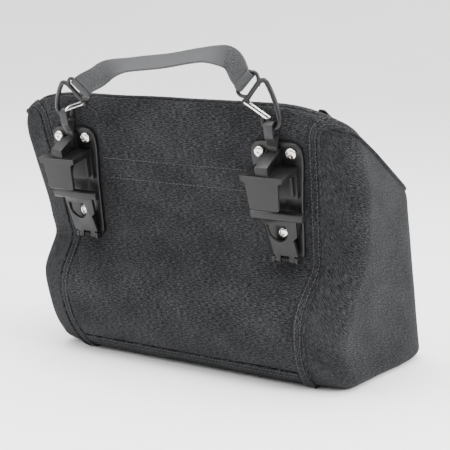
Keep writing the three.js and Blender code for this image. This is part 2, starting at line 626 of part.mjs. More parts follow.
// Wire gate: a U of spring wire through the snap hook's boss, its closed end behind the nose.
function wireGate() {
  const end = new THREE.Vector2(-4.6, 1.8);
  const out = end.clone().sub(SNAP_PIVOT);
  const reach = (t, y) => [SNAP_PIVOT.x + out.x * t, y, SNAP_PIVOT.y + out.y * t];
  const wide = 3.7;
  return tube([reach(0, -2.2), reach(0.0, -wide + 0.4), reach(0.03, -wide), reach(0.3, -wide), reach(0.7, -wide),
    reach(0.95, -wide), reach(1, -wide + 1), reach(1, 0), reach(1, wide - 1), reach(0.95, wide),
    reach(0.7, wide), reach(0.3, wide), reach(0.03, wide), reach(0, wide - 0.4), reach(0, 2.2)], GATE_R, 5, 34);
}

// Where each snap hook hangs in its release tab, and how it leans out and rolls.
const SNAP_POSE = {
  left: { x: -114, z: 250.4, lean: rad(32), roll: rad(-10) },
  right: { x: 114.2, z: 250.4, lean: 0, roll: 0 },
};
const SNAP_Y = -6.1;

function snapMatrix(name, side) {
  const pose = SNAP_POSE[name];
  const matrix = new THREE.Matrix4().makeTranslation(pose.x, SNAP_Y, pose.z);
  const pivot = new THREE.Matrix4().makeTranslation(0, 0, -6.8);
  const back = new THREE.Matrix4().makeTranslation(0, 0, 6.8);
  matrix.multiply(pivot).multiply(new THREE.Matrix4().makeRotationX(pose.lean));
  matrix.multiply(new THREE.Matrix4().makeRotationY(side * pose.roll)).multiply(back);
  return matrix;
}

function mirrored(geometry, side) {
  return toGeometry(toSolid(geometry.clone().scale(side, 1, 1)));
}

function snapNode(name, solid, side, label, material) {
  const mesh = new THREE.Mesh(mirrored(toGeometry(solid), side), material);
  mesh.name = label;
  mesh.applyMatrix4(snapMatrix(name, side));
  root.add(mesh);
}

// Middle of a snap hook's strap bar, and the bar's direction, in the bag's frame.
function eyeBar(name, side) {
  const along = SNAP_APEX.clone().sub(SNAP_PIVOT).normalize();
  const away = new THREE.Vector2(-along.y, along.x);
  const middle = SNAP_APEX.clone().add(SNAP_PIVOT).multiplyScalar(0.5).addScaledVector(away, EYE_OUT);
  const matrix = snapMatrix(name, side);
  const place = new THREE.Vector3(side * middle.x, 0, middle.y).applyMatrix4(matrix);
  const bar = new THREE.Vector3(side * along.x, 0, along.y).transformDirection(matrix);
  const out = new THREE.Vector3(side * away.x, 0, away.y).transformDirection(matrix);
  return { place, bar, out };
}

// The strap's line between its two folds, from the left eye to the right eye.
const STRAP_LINE = [[-64, -20, 281.5], [-55.5, -14, 288], [-34, -9, 293.3], [2, -6.5, 298], [33, -6, 303],
  [54, -7, 304.8], [72, -7, 301.5]];

function handleStrap() {
  const left = eyeBar('left', -1);
  const right = eyeBar('right', 1);
  const lift = EYE_BAR_R + 0.4 + STRAP_THICK * 0.5;
  const first = left.place.clone().addScaledVector(left.out, lift);
  const last = right.place.clone().addScaledVector(right.out, lift);
  const points = [first, first.clone().addScaledVector(left.out, 4),
    ...STRAP_LINE.map((p) => new THREE.Vector3(...p)), last.clone().addScaledVector(right.out, 4), last];
  const line = new THREE.CatmullRomCurve3(points, false, 'centripetal');
  const steps = 30;
  const flat = new THREE.Vector3(0, 0.78, 0.62);
  const rings = [];
  for (let i = 0; i <= steps; i += 1) {
    const t = i / steps;
    const at = line.getPointAt(t);
    const ahead = line.getTangentAt(t);
    const twist = (a) => THREE.MathUtils.smoothstep(a, 0.02, 0.3);
    const across = flat.clone();
    across.lerp(left.bar, 1 - twist(t));
    across.lerp(right.bar, 1 - twist(1 - t));
    across.addScaledVector(ahead, -across.dot(ahead)).normalize();
    const face = new THREE.Vector3().crossVectors(ahead, across);
    const corner = (a, b) => at.clone().addScaledVector(across, (a * STRAP_WIDTH) / 2)
      .addScaledVector(face, (b * STRAP_THICK) / 2);
    rings.push([corner(-1, -1), corner(1, -1), corner(1, 1), corner(-1, 1)]);
  }
  let strap = loft(rings);
  for (const end of [left, right]) {
    const fold = new THREE.Shape();
    fold.absarc(0, 0, EYE_BAR_R + 0.4 + STRAP_THICK, 0, 2 * Math.PI);
    const hole = new THREE.Path();
    hole.absarc(0, 0, EYE_BAR_R + 0.4, 0, 2 * Math.PI);
    fold.holes.push(hole);
    const sleeve = new THREE.ExtrudeGeometry(fold, { depth: STRAP_WIDTH, bevelEnabled: false, curveSegments: 5 });
    sleeve.translate(0, 0, -STRAP_WIDTH / 2);
    const sideways = new THREE.Vector3().crossVectors(end.bar, end.out);
    const basis = new THREE.Matrix4().makeBasis(end.out, sideways, end.bar);
    basis.setPosition(end.place);
    strap = strap.add(toSolid(sleeve.applyMatrix4(basis)));
  }
  for (const [name, side] of SIDES) {
    const end = eyeBar(name, side);
    const a = end.place.clone().addScaledVector(end.bar, -14);
    const b = end.place.clone().addScaledVector(end.bar, 14);
    strap = strap.subtract(tube([a.toArray(), end.place.toArray(), b.toArray()], EYE_BAR_R + 0.4, 12, 2));
  }
  return strap;
}

buildPanels();
buildBands();
buildZip();
buildSlider();
buildInsides();
for (const [name, side] of SIDES) {
  buildHook(name, side);
  snapNode(name, snapHook(), side, `snap_hook_${name}`, MATERIALS.plastic);
  snapNode(name, wireGate(), side, `wire_gate_${name}`, MATERIALS.steel);
}
node(root, 'handle_strap', handleStrap(), MATERIALS.webbing);

WORLD.updateMatrixWorld(true);
const extent = new THREE.Box3().setFromObject(root, true);
const centre = extent.getCenter(new THREE.Vector3());
root.position.set(-centre.x, -centre.y, -extent.min.z);
WORLD.updateMatrixWorld(true);

export default WORLD;
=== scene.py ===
"""Looks of a soft-sided clip-on bag with two rail hooks and a release handle.

The bag is a moulded fabric shell: horizontal outlines stacked from the floor up, closed by a
sloped lid. Lengths inside the functions are millimetres in the bag's own layout; place() turns
them into metres in the frame.
"""

import json
import math

import bpy
import numpy as np
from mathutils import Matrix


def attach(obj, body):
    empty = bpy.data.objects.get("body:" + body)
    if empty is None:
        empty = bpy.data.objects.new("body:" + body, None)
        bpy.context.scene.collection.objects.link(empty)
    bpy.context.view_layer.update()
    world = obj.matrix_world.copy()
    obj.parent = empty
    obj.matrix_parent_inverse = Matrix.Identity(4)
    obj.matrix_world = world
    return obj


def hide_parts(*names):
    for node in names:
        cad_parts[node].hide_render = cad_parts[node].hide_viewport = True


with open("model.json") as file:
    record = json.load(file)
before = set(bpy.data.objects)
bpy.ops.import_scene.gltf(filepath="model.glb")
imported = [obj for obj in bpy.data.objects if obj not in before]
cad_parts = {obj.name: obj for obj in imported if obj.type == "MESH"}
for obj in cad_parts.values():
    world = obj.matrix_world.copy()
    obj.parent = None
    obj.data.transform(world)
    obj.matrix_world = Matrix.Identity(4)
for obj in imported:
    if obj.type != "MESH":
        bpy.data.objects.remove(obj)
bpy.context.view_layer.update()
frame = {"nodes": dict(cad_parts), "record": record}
MM = 0.001
RNG = np.random.default_rng(7)

# ---- driving dimensions, as the frame has them --------------------------------------------
BAG_HEIGHT = 266.0
LOFT_TOP = 282.0
FOOT_ROUND = 12.0
TOP_SLOPE = 0.57
TOP_START = 12.0
CROWN_START, CROWN_SPAN, CROWN_DROP = 105.0, 80.0, 18.0
FRONT_FOOT, FRONT_LEAN = 204.0, 0.30
END_X = 180.0
FRONT_CORNER, RIDGE_CORNER, SEAM_CORNER = 34.0, 13.0, 18.0
SEAM_FOOT, SEAM_FLARE = 122.5, 0.085
BASE_SEAM = 18.0
LID_HALF, LID_BACK, LID_FRONT = 140.0, 56.0, 148.0
LID_BACK_CORNER, LID_FRONT_CORNER = 3.0, 24.0
BACK_ROUND, FRONT_ROUND = 9.0, 26.0
BAG_MIDDLE = np.array([0.0, 105.0, 120.0])
BACK_COLUMNS, END_COLUMNS = 46, 90
HOOK_X, HOOK_DEPTH, HOOK_HEIGHT = 111.5, 18.5, 180.0
HOOK_TILT = math.radians(14.1)
PIN_W, PIN_N = -56.0, 8.6
SLOPE_ANGLE = math.atan(TOP_SLOPE)
BACK_DEPTH = [(0, 42), (12, 32), (30, 18.5), (50, 10), (70, 7), (85, 11.5), (100, 23), (116, 34),
              (135, 29.8), (160, 23.5), (200, 13.5), (240, 3.4), (262, 1), (282, 1)]
RIDGE_X = [(0, 167), (45, 166), (80, 173), (105, 174), (140, 180), (200, 185.5), (225, 184.3),
           (282, 174)]
RIDGE_DEPTH = [(0, 10), (40, 12), (70, 14.5), (100, 9), (120, 11), (150, 15), (200, 11), (225, 7),
               (282, 6)]
BAND_CORNER, BAND_INSET = 17.0, 4.5
WALL = 5.2
ROLL_DEPTH, ROLL_WIDTH = 1.25, 1.1
PUCKER_PITCH, PUCKER_DRIFT, PUCKER_REACH = 8.7, 23, 6.0

# The layout's depth is measured from the upper screws; the frame puts the middle of the bag at 0.
JOINTS = {j["name"]: j for j in frame["record"]["behaviour"]["joints"]}
PIN_DEPTH = HOOK_DEPTH - math.sin(HOOK_TILT) * PIN_W - math.cos(HOOK_TILT) * PIN_N
SHIFT_Y = JOINTS["latch_hinge_right"]["pos_m"][1] / MM - PIN_DEPTH


def place(points):
    """Layout millimetres to frame metres: shift along Y, no lower than the floor, then scale."""
    moved = np.array(points, dtype=float)
    moved[..., 1] += SHIFT_Y
    moved[..., 2] = np.maximum(moved[..., 2], 0.0)
    return moved * MM


# ---- camera, light, floor ---------------------------------------------------------------
def look_at(obj, target):
    """Turns an object so that its -Z axis points at target, with Z up."""
    from mathutils import Vector
    direction = Vector(target) - obj.location
    obj.rotation_euler = direction.to_track_quat("-Z", "Y").to_euler()


CAMERA_TARGET = [61.713, 0.0, 153.757]
CAMERA_TURN, CAMERA_RISE, CAMERA_DISTANCE = math.radians(31.849), math.radians(10.894), 1.07254


def make_camera():
    """Long lens from the right of the hook side, a little above it, aimed at the bag."""
    data = bpy.data.cameras.new("camera")
    data.lens = 96.0
    data.sensor_width = 36.0
    camera = bpy.data.objects.new("camera", data)
    bpy.context.collection.objects.link(camera)
    target = place(CAMERA_TARGET)
    level = math.cos(CAMERA_RISE)
    back = np.array([math.sin(CAMERA_TURN) * level, -math.cos(CAMERA_TURN) * level, math.sin(CAMERA_RISE)])
    camera.location = target + back * CAMERA_DISTANCE
    look_at(camera, target)
    bpy.context.scene.camera = camera


def area_light(name, location, target, size, power):
    """Round soft light at a place, turned to a target; size in metres and power in watts."""
    data = bpy.data.lights.new(name, "AREA")
    data.shape = "DISK"
    data.size = size
    data.energy = power
    light = bpy.data.objects.new(name, data)
    bpy.context.collection.objects.link(light)
    light.location = location
    look_at(light, target)


def shade_sky(tree):
    """Soft surround: strong from above and from behind the bag, weak from behind the camera."""
    place_in_sky = tree.nodes.new("ShaderNodeTexCoord")
    parts = tree.nodes.new("ShaderNodeSeparateXYZ")
    tree.links.new(place_in_sky.outputs["Generated"], parts.inputs["Vector"])
    total = tree.nodes.new("ShaderNodeMath")
    total.operation = "ADD"
    ramps = (("Z", -0.05, 0.85, 0.25, 2.7, "SMOOTHSTEP"), ("Y", -0.1, 0.9, 0.0, 1.3, "LINEAR"))
    for i, (axis, low, high, weak, strong, blend) in enumerate(ramps):
        ramp = tree.nodes.new("ShaderNodeMapRange")
        ramp.interpolation_type = blend
        limits = {"From Min": low, "From Max": high, "To Min": weak, "To Max": strong}
        for socket, value in limits.items():
            ramp.inputs[socket].default_value = value
        tree.links.new(parts.outputs[axis], ramp.inputs["Value"])
        tree.links.new(ramp.outputs["Result"], total.inputs[i])
    tree.links.new(total.outputs["Value"], tree.nodes["Background"].inputs["Strength"])
    tree.nodes["Background"].inputs["Color"].default_value = (1, 1, 1, 1)


def make_studio():
    """Pale floor that sweeps up behind the bag in a quarter circle, three soft lights and a sky."""
    world = bpy.data.worlds.new("studio")
    world.use_nodes = True
    shade_sky(world.node_tree)
    bpy.context.scene.world = world
    middle = (0, 0, 0.12)
    area_light("key_right", (1.4, -0.2, 1.0), middle, 0.7, 30)
    area_light("top_soft", (0.0, -0.3, 1.8), middle, 1.6, 50)
    area_light("hook_side", (-1.0, -1.3, 1.1), middle, 0.5, 12)
    bend = np.linspace(0.05, np.pi / 2, 24)
    depth = np.concatenate([[-5.0, 0.0, 2.5], 2.5 + 2.0 * np.sin(bend), [4.5]])
    height = np.concatenate([[0.0, 0.0, 0.0], 2.0 - 2.0 * np.cos(bend), [6.0]])
    sweep = np.stack([np.stack([np.full_like(depth, x), depth, height], axis=1) for x in (-7.0, 7.0)], axis=1)
    new_object("floor", sweep, grid_faces(len(depth), 2), floor_material())


# ---- nodes for materials ----------------------------------------------------------------
class Shader:
    """A Principled material under construction, with short calls for the nodes it needs."""

    def __init__(self, name, colour, roughness, metallic=0.0, **fixed):
        """Fixed settings go straight on the shader's own sockets, spaces written as _."""
        self.material = bpy.data.materials.new(name)
        self.material.use_nodes = True
        self.tree = self.material.node_tree
        self.surface = self.tree.nodes["Principled BSDF"]
        self.surface.inputs["Base Color"].default_value = (*colour, 1)
        self.surface.inputs["Roughness"].default_value = roughness
        self.surface.inputs["Metallic"].default_value = metallic
        for key, value in fixed.items():
            self.surface.inputs[key.replace("_", " ")].default_value = value
        self.material.diffuse_color = (*colour, 1)

    def node(self, kind, links=(), **values):
        """New node: links are (socket, source) pairs, values are sockets or else settings."""
        made = self.tree.nodes.new(kind)
        for key, value in values.items():
            if key in made.inputs:
                made.inputs[key].default_value = value
            else:
                setattr(made, key, value)
        for socket, source in links:
            self.tree.links.new(source, made.inputs[socket])
        return made

    def where(self, scale, by_uv=True, turn=0.0):
        """Pattern coordinates in metres times scale: along the cloth by UV, else in the object."""
        source = self.node("ShaderNodeTexCoord").outputs["UV" if by_uv else "Object"]
        mapping = self.node("ShaderNodeMapping", [("Vector", source)])
        mapping.inputs["Scale"].default_value = scale
        mapping.inputs["Rotation"].default_value = (0, 0, turn)
        return mapping.outputs["Vector"]

    def noise(self, vector, scale=1.0, detail=2.0, roughness=0.55):
        """Cloudy pattern from 0 to 1."""
        return self.node("ShaderNodeTexNoise", [("Vector", vector)], Scale=scale, Detail=detail,
                         Roughness=roughness).outputs["Fac"]

    def ramp(self, factor, stops):
        """Colour read from (position, colour) stops."""
        made = self.node("ShaderNodeValToRGB", [("Fac", factor)])
        ramp = made.color_ramp
        while len(ramp.elements) < len(stops):
            ramp.elements.new(0.5)
        for element, (position, colour) in zip(ramp.elements, stops):
            element.position = position
            element.color = (*colour, 1)
        return made.outputs["Color"]

    def math(self, operation, a, b):
        """Sum, difference or product of two patterns or numbers."""
        made = self.node("ShaderNodeMath", operation=operation)
        for i, value in enumerate((a, b)):
            if isinstance(value, (int, float)):
                made.inputs[i].default_value = value
            else:
                self.tree.links.new(value, made.inputs[i])
        return made.outputs["Value"]

    def bump(self, height, distance, strength=1.0, below=None):
        """Relief of a height pattern, distance in metres, on top of a relief below it."""
        links = [("Height", height)]
        if below is not None:
            links.append(("Normal", below))
        return self.node("ShaderNodeBump", links, Distance=distance, Strength=strength).outputs["Normal"]

    def finish(self, colour=None, roughness=None, normal=None):
        """Links the patterns that vary over the surface and returns the material."""
        for socket, value in (("Base Color", colour), ("Roughness", roughness), ("Normal", normal)):
            if value is not None:
                self.tree.links.new(value, self.surface.inputs[socket])
        return self.material


def floor_material():
    """Matt pale grey with a very faint cloudiness."""
    shader = Shader("studio_floor", (0.96, 0.96, 0.96), 0.9)
    grain = shader.noise(shader.where((3, 3, 3), by_uv=False), 1.0)
    return shader.finish(colour=shader.ramp(grain, [(0.3, (0.95, 0.95, 0.95)), (0.7, (0.97, 0.97, 0.97))]))


def heather_fabric(name="heather_fabric", dark=(0.0022, 0.0023, 0.0025), light=(0.040, 0.041, 0.044)):
    """Melange cloth: short light and dark yarn streaks across the cloth over a fine plain weave."""
    shader = Shader(name, (0.048, 0.048, 0.051), 0.92, Sheen_Weight=0.02, Sheen_Roughness=0.5)
    shader.surface.inputs["Specular IOR Level"].default_value = 0.10
    streak = shader.noise(shader.where((260, 1250, 1)), 1.0, 2.0, 0.6)
    fleck = shader.noise(shader.where((900, 1300, 1), turn=0.3), 1.0, 1.0, 0.5)
    cloud = shader.noise(shader.where((22, 30, 1)), 1.0, 3.0, 0.5)
    both = shader.math("ADD", shader.math("MULTIPLY", streak, 0.62), shader.math("MULTIPLY", fleck, 0.38))
    both = shader.math("ADD", both, shader.math("MULTIPLY", shader.math("SUBTRACT", cloud, 0.5), 0.14))
    middle = tuple(a * 0.55 + b * 0.30 for a, b in zip(dark, light))
    colour = shader.ramp(both, [(0.40, dark), (0.50, middle), (0.61, light)])
    weft = shader.node("ShaderNodeTexWave", [("Vector", shader.where((1, 1, 1)))], Scale=300.0,
                       bands_direction="X").outputs["Fac"]
    warp = shader.node("ShaderNodeTexWave", [("Vector", shader.where((1, 1, 1)))], Scale=300.0,
                       bands_direction="Y").outputs["Fac"]
    weave = shader.math("MULTIPLY", weft, warp)
    normal = shader.bump(weave, 0.00012, 0.5)
    normal = shader.bump(both, 0.0007, 0.55, normal)
    rough = shader.ramp(fleck, [(0.3, (0.82, 0.82, 0.82)), (0.7, (0.98, 0.98, 0.98))])
    return shader.finish(colour, rough, normal)


def lining_fabric():
    """Thin black woven lining with a faint noise grain."""
    shader = Shader("lining", (0.012, 0.012, 0.013), 0.8)
    grain = shader.noise(shader.where((600, 600, 1)), 1.0)
    colour = shader.ramp(grain, [(0.3, (0.008, 0.008, 0.009)), (0.7, (0.02, 0.02, 0.021))])
    return shader.finish(colour, None, shader.bump(grain, 0.0003, 0.4))


def moulded_plastic(name="hook_plastic", tone=0.0035, gloss=0.36):
    """Black moulded nylon: spark-eroded grain and a slightly uneven gloss."""
    shader = Shader(name, (tone, tone, tone * 1.04), gloss)
    shader.surface.inputs["Specular IOR Level"].default_value = 0.30
    spot = shader.where((1, 1, 1), by_uv=False)
    grain = shader.noise(spot, 2600.0, 2.0)
    cloud = shader.noise(spot, 120.0, 3.0)
    low, high = gloss - 0.05, gloss + 0.10
    rough = shader.ramp(cloud, [(0.3, (low,) * 3), (0.7, (high,) * 3)])
    colour = shader.ramp(cloud, [(0.3, (tone * 0.9,) * 3), (0.7, (tone * 1.5,) * 3)])
    return shader.finish(colour, rough, shader.bump(grain, 0.00006, 0.5))


def bright_steel():
    """Zinc-plated steel: clean, slightly warm, with a fine noise grain and a few dull spots."""
    shader = Shader("steel", (0.72, 0.69, 0.65), 0.2, metallic=1.0)
    spot = shader.where((1, 1, 1), by_uv=False)
    cloud = shader.noise(spot, 500.0, 3.0)
    rough = shader.ramp(cloud, [(0.3, (0.14,) * 3), (0.75, (0.34,) * 3)])
    colour = shader.ramp(cloud, [(0.25, (0.66, 0.63, 0.59)), (0.7, (0.84, 0.81, 0.77))])
    return shader.finish(colour, rough, shader.bump(shader.noise(spot, 3000.0), 0.00003, 0.4))


def woven_strap(name, dark, light, shine=0.65):
    """Webbing: herringbone ribs along the strap, painted lighter on the rib crowns as painted highlight and
    darker in the grooves as painted shade.
    """
    shader = Shader(name, light, shine, Sheen_Weight=0.05, Sheen_Roughness=0.4)
    shader.surface.inputs["Specular IOR Level"].default_value = 0.4
    rib = shader.node("ShaderNodeTexWave", [("Vector", shader.where((1, 1, 1), turn=0.55))], Scale=260.0,
                      Distortion=0.6, bands_direction="X").outputs["Fac"]
    yarn = shader.noise(shader.where((260, 1500, 1)), 1.0, 2.0)
    height = shader.math("ADD", shader.math("MULTIPLY", rib, 0.6), shader.math("MULTIPLY", yarn, 0.4))
    # Colour follows the rib height and the yarn noise: rib crowns painted lighter as painted highlight,
    # grooves painted darker as painted shade, over random yarn tone.
    colour = shader.ramp(height, [(0.2, dark), (0.75, light)])
    return shader.finish(colour, None, shader.bump(height, 0.0004, 0.6))


def thread_material(tone=0.03):
    """Dull sewing thread with a fine twist."""
    shader = Shader("thread", (tone, tone, tone * 1.05), 0.7)
    grain = shader.noise(shader.where((1, 1, 1), by_uv=False), 1500.0)
    colour = shader.ramp(grain, [(0.3, (tone * 0.7,) * 3), (0.7, (tone * 1.4,) * 3)])
    return shader.finish(colour, None, shader.bump(grain, 0.0001, 0.5))


def board_material():
    """Stiff black polyethylene board with a fine pebble grain."""
    shader = Shader("liner_board", (0.014, 0.014, 0.015), 0.6)
    grain = shader.noise(shader.where((1, 1, 1), by_uv=False), 900.0, 3.0)
    colour = shader.ramp(grain, [(0.3, (0.010,) * 3), (0.7, (0.022,) * 3)])
    return shader.finish(colour, None, shader.bump(grain, 0.0002, 0.5))


# ---- meshes -----------------------------------------------------------------------------
def unit(vectors):
    """Vectors divided by their own lengths."""
    return vectors / np.linalg.norm(vectors, axis=-1, keepdims=True)


def new_object(name, verts, faces, material, uv=None):
    """Smooth-shaded object from points in metres, faces, and a UV pair for each point."""
    mesh = bpy.data.meshes.new(name)
    face_list = faces.tolist() if isinstance(faces, np.ndarray) else faces
    mesh.from_pydata(np.asarray(verts).reshape(-1, 3).tolist(), [], face_list)
    if uv is not None:
        layer = mesh.uv_layers.new(name="cloth")
        corner = np.empty(len(mesh.loops), dtype=np.int32)
        mesh.loops.foreach_get("vertex_index", corner)
        layer.data.foreach_set("uv", np.asarray(uv).reshape(-1, 2)[corner].astype(np.float32).ravel())
    mesh.polygons.foreach_set("use_smooth", [True] * len(mesh.polygons))
    mesh.materials.append(material)
    return link_object(name, mesh)


def link_object(name, mesh):
    """Puts a mesh into the scene as an object at the origin."""
    obj = bpy.data.objects.new(name, mesh)
    bpy.context.collection.objects.link(obj)
    return obj


def grid_faces(rows, cols, wrap=False):
    """Quads of a rows x cols grid, row by row; wrap joins the last column to the first."""
    last = cols if wrap else cols - 1
    r, c = np.meshgrid(np.arange(rows - 1), np.arange(last), indexing="ij")
    right = (c + 1) % cols
    quads = np.stack([r * cols + c, r * cols + right, (r + 1) * cols + right, (r + 1) * cols + c], axis=-1)
    return quads.reshape(-1, 4)


def grid_normals(points):
    """Unit normals of a grid: the cross product of its two central differences."""
    normal = np.cross(np.gradient(points, axis=1), np.gradient(points, axis=0))
    return normal / np.maximum(np.linalg.norm(normal, axis=-1, keepdims=True), 1e-9)


def arc_length(points, axis=0):
    """Running length of polylines laid along one axis of an array of points."""
    step = np.linalg.norm(np.diff(points, axis=axis), axis=-1)
    start = np.zeros_like(np.take(step, [0], axis=axis))
    return np.concatenate([start, np.cumsum(step, axis=axis)], axis=axis)


def read_along(positions, run, values):
    """Vectors known at running lengths, read linearly at other positions."""
    return np.stack([np.interp(positions, run, values[:, k]) for k in range(3)], axis=-1)


def resample(points, positions):
    """Points of one polyline at given running lengths."""
    return read_along(positions, arc_length(points), points)


def directions(line, closed=False):
    """Unit direction at each point of a line, from its two neighbours."""
    if closed:
        return unit(np.roll(line, -1, axis=0) - np.roll(line, 1, axis=0))
    return unit(np.gradient(line, axis=0))


def parabola(start, tip, end, t):
    """Curve from start to end that heads for tip at both ends (a quadratic Bezier)."""
    return (1 - t) ** 2 * start + 2 * t * (1 - t) * tip + t ** 2 * end


def capped(rows, cols):
    """Faces of a closed-section grid with a face over each open end."""
    faces = grid_faces(rows, cols, wrap=True).tolist()
    faces.append(list(range(cols))[::-1])
    faces.append(list(range((rows - 1) * cols, rows * cols)))
    return faces


def tube(name, path, radius, material, sides):
    """Round section carried along a path by frames that turn as little as they can."""
    count = len(path)
    ahead = directions(path)
    side = np.empty_like(path)
    side[0] = unit(np.cross(ahead[0], [0.3, 1.0, 0.2]))
    for i in range(1, count):
        side[i] = unit(side[i - 1] - ahead[i] * np.dot(side[i - 1], ahead[i]))
    up = np.cross(ahead, side)
    angle = np.linspace(0, 2 * np.pi, sides, endpoint=False)
    ring = (np.cos(angle)[None, :, None] * side[:, None] + np.sin(angle)[None, :, None] * up[:, None])
    points = path[:, None] + ring * radius
    uv = np.stack(np.broadcast_arrays(arc_length(path)[:, None], angle[None] * radius), axis=-1)
    obj = new_object(name, points, capped(count, sides), material, uv)
    face_out(obj)
    return obj


def face_out(obj):
    """Makes the faces of a closed piece point outwards."""
    import bmesh
    work = bmesh.new()
    work.from_mesh(obj.data)
    bmesh.ops.recalc_face_normals(work, faces=work.faces)
    work.to_mesh(obj.data)
    work.free()


def curve_through(points, count):
    """Smooth (Catmull-Rom) curve through points, evenly resampled to count."""
    p = np.asarray(points, dtype=float)
    p = np.vstack([2 * p[0] - p[1], p, 2 * p[-1] - p[-2]])
    t = np.linspace(0, 1, 24, endpoint=False)[:, None]
    pieces = []
    for i in range(1, len(p) - 2):
        a, b, c, d = p[i - 1:i + 3]
        pieces.append(0.5 * (2 * b + (c - a) * t + (2 * a - 5 * b + 4 * c - d) * t ** 2 +
                             (3 * b - a - 3 * c + d) * t ** 3))
    dense = np.vstack(pieces + [p[-2][None]])
    run = arc_length(dense)
    return resample(dense, np.linspace(0, run[-1], count))


def merge(name, objects):
    """Joins finished objects into one piece."""
    bpy.ops.object.select_all(action="DESELECT")
    for obj in objects:
        obj.select_set(True)
    bpy.context.view_layer.objects.active = objects[0]
    bpy.ops.object.join()
    objects[0].name = name
    objects[0].data.name = name
    return objects[0]


def ship(obj, body, slot, *nodes):
    """Puts a finished piece under the body it moves with and hides the frame nodes it stands for; slot is not
    used.
    """
    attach(obj, body)
    if nodes:
        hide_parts(*nodes)
    return obj


# ---- the bag's surface ------------------------------------------------------------------
def smoothstep(value, low, high):
    """Rises from 0 at low to 1 at high, level at both ends."""
    t = np.clip((value - low) / (high - low), 0, 1)
    return t * t * (3 - 2 * t)


def read(table, at):
    """Smooth reading of a (position, value) table: Hermite pieces with finite-difference slopes."""
    spots = np.array([p for p, _ in table], dtype=float)
    values = np.array([v for _, v in table], dtype=float)
    slopes = np.empty_like(values)
    slopes[1:-1] = (values[2:] - values[:-2]) / (spots[2:] - spots[:-2])
    slopes[0] = (values[1] - values[0]) / (spots[1] - spots[0])
    slopes[-1] = (values[-1] - values[-2]) / (spots[-1] - spots[-2])
    i = np.clip(np.searchsorted(spots, at, side="right") - 1, 0, len(spots) - 2)
    span = spots[i + 1] - spots[i]
    t = np.clip((at - spots[i]) / span, 0, 1)
    rise = t * t * (3 - 2 * t)
    return (values[i] + (values[i + 1] - values[i]) * rise + t * (1 - t) ** 2 * span * slopes[i] +
            t * t * (t - 1) * span * slopes[i + 1])


def seam_x(z):
    """Distance of the end seam from the middle: it flares evenly with height."""
    return SEAM_FOOT + SEAM_FLARE * z


def top_height(x, y):
    """Lid surface: a slope eased into the level back edge, falling away past CROWN_START."""
    slope = BAG_HEIGHT - TOP_SLOPE * (y - TOP_START)
    eased = BAG_HEIGHT - 3.0 * np.logaddexp(0, (BAG_HEIGHT - slope) / 3.0)
    aside = np.maximum(np.abs(x) - CROWN_START, 0) / CROWN_SPAN
    return eased - CROWN_DROP * aside ** 2


def half_outline(z):
    """Right half of the body's outline at heights z: three corners rounded by parabolas."""
    rest = np.maximum(FOOT_ROUND - z, 0)
    draw = FOOT_ROUND - np.sqrt(FOOT_ROUND ** 2 - rest ** 2)
    back = read(BACK_DEPTH, z) + draw
    front = FRONT_FOOT - FRONT_LEAN * z - draw
    zero = np.zeros_like(z)
    ridge = (read(RIDGE_X, z) - draw, back + read(RIDGE_DEPTH, z))
    spots = ((zero, back), (seam_x(z), back), ridge, (END_X - draw, front), (zero, front))
    corners = np.stack([np.stack(spot, axis=-1) for spot in spots], axis=1)
    pieces = [corners[:, :1]]
    for i, radius, count in ((1, SEAM_CORNER, 11), (2, RIDGE_CORNER, 15), (3, FRONT_CORNER, 23)):
        here = corners[:, i]
        start = here + unit(corners[:, i - 1] - here) * radius
        end = here + unit(corners[:, i + 1] - here) * radius
        t = np.linspace(0, 1, count)[None, :, None]
        pieces.append(parabola(start[:, None], here[:, None], end[:, None], t))
    pieces.append(corners[:, -1:])
    return np.concatenate(pieces, axis=1)


def wall_columns(z, counts):
    """Back, end and front columns at heights z, evenly spaced between the seams."""
    outline = half_outline(z)
    flat = np.concatenate([outline, np.broadcast_to(z[:, None, None], outline.shape[:2] + (1,))], axis=2)
    rows = {"back": [], "end": [], "front": []}
    for line, height in zip(flat, z):
        run = arc_length(line)
        seam = seam_x(height)
        half = len(line) // 2
        near = np.interp(seam, line[:half, 0], run[:half])
        far_x = line[half:, 0][::-1]
        far = np.interp(seam, far_x, run[half:][::-1])
        stops = {"back": (0, near), "end": (near, far), "front": (far, run[-1])}
        for name, (a, b) in stops.items():
            spread = np.linspace(0, 1, counts[name])
            if name == "end":
                spread = 0.5 * spread + 0.5 * (0.5 - 0.5 * np.cos(np.pi * spread))
            rows[name].append(resample(line, a + (b - a) * spread))
    return {name: np.array(value) for name, value in rows.items()}


def lid_edge(points, grow=0.0):
    """Nearest point of the lid's outline, a rectangle on the slope with round corners."""
    s = (points[:, 1] - TOP_START) / math.cos(SLOPE_ANGLE)
    corner = np.where(s > (LID_BACK + LID_FRONT) / 2, LID_FRONT_CORNER, LID_BACK_CORNER)
    half = LID_HALF + grow
    x = np.clip(points[:, 0], -half + corner, half - corner)
    inner = np.clip(s, LID_BACK - grow + corner, LID_FRONT + grow - corner)
    dx, ds = points[:, 0] - x, s - inner
    length = np.maximum(np.hypot(dx, ds), 1e-6)
    ex, es = x + dx / length * corner, inner + ds / length * corner
    ey = TOP_START + es * math.cos(SLOPE_ANGLE)
    return np.stack([ex, ey, top_height(ex, ey)], axis=-1)


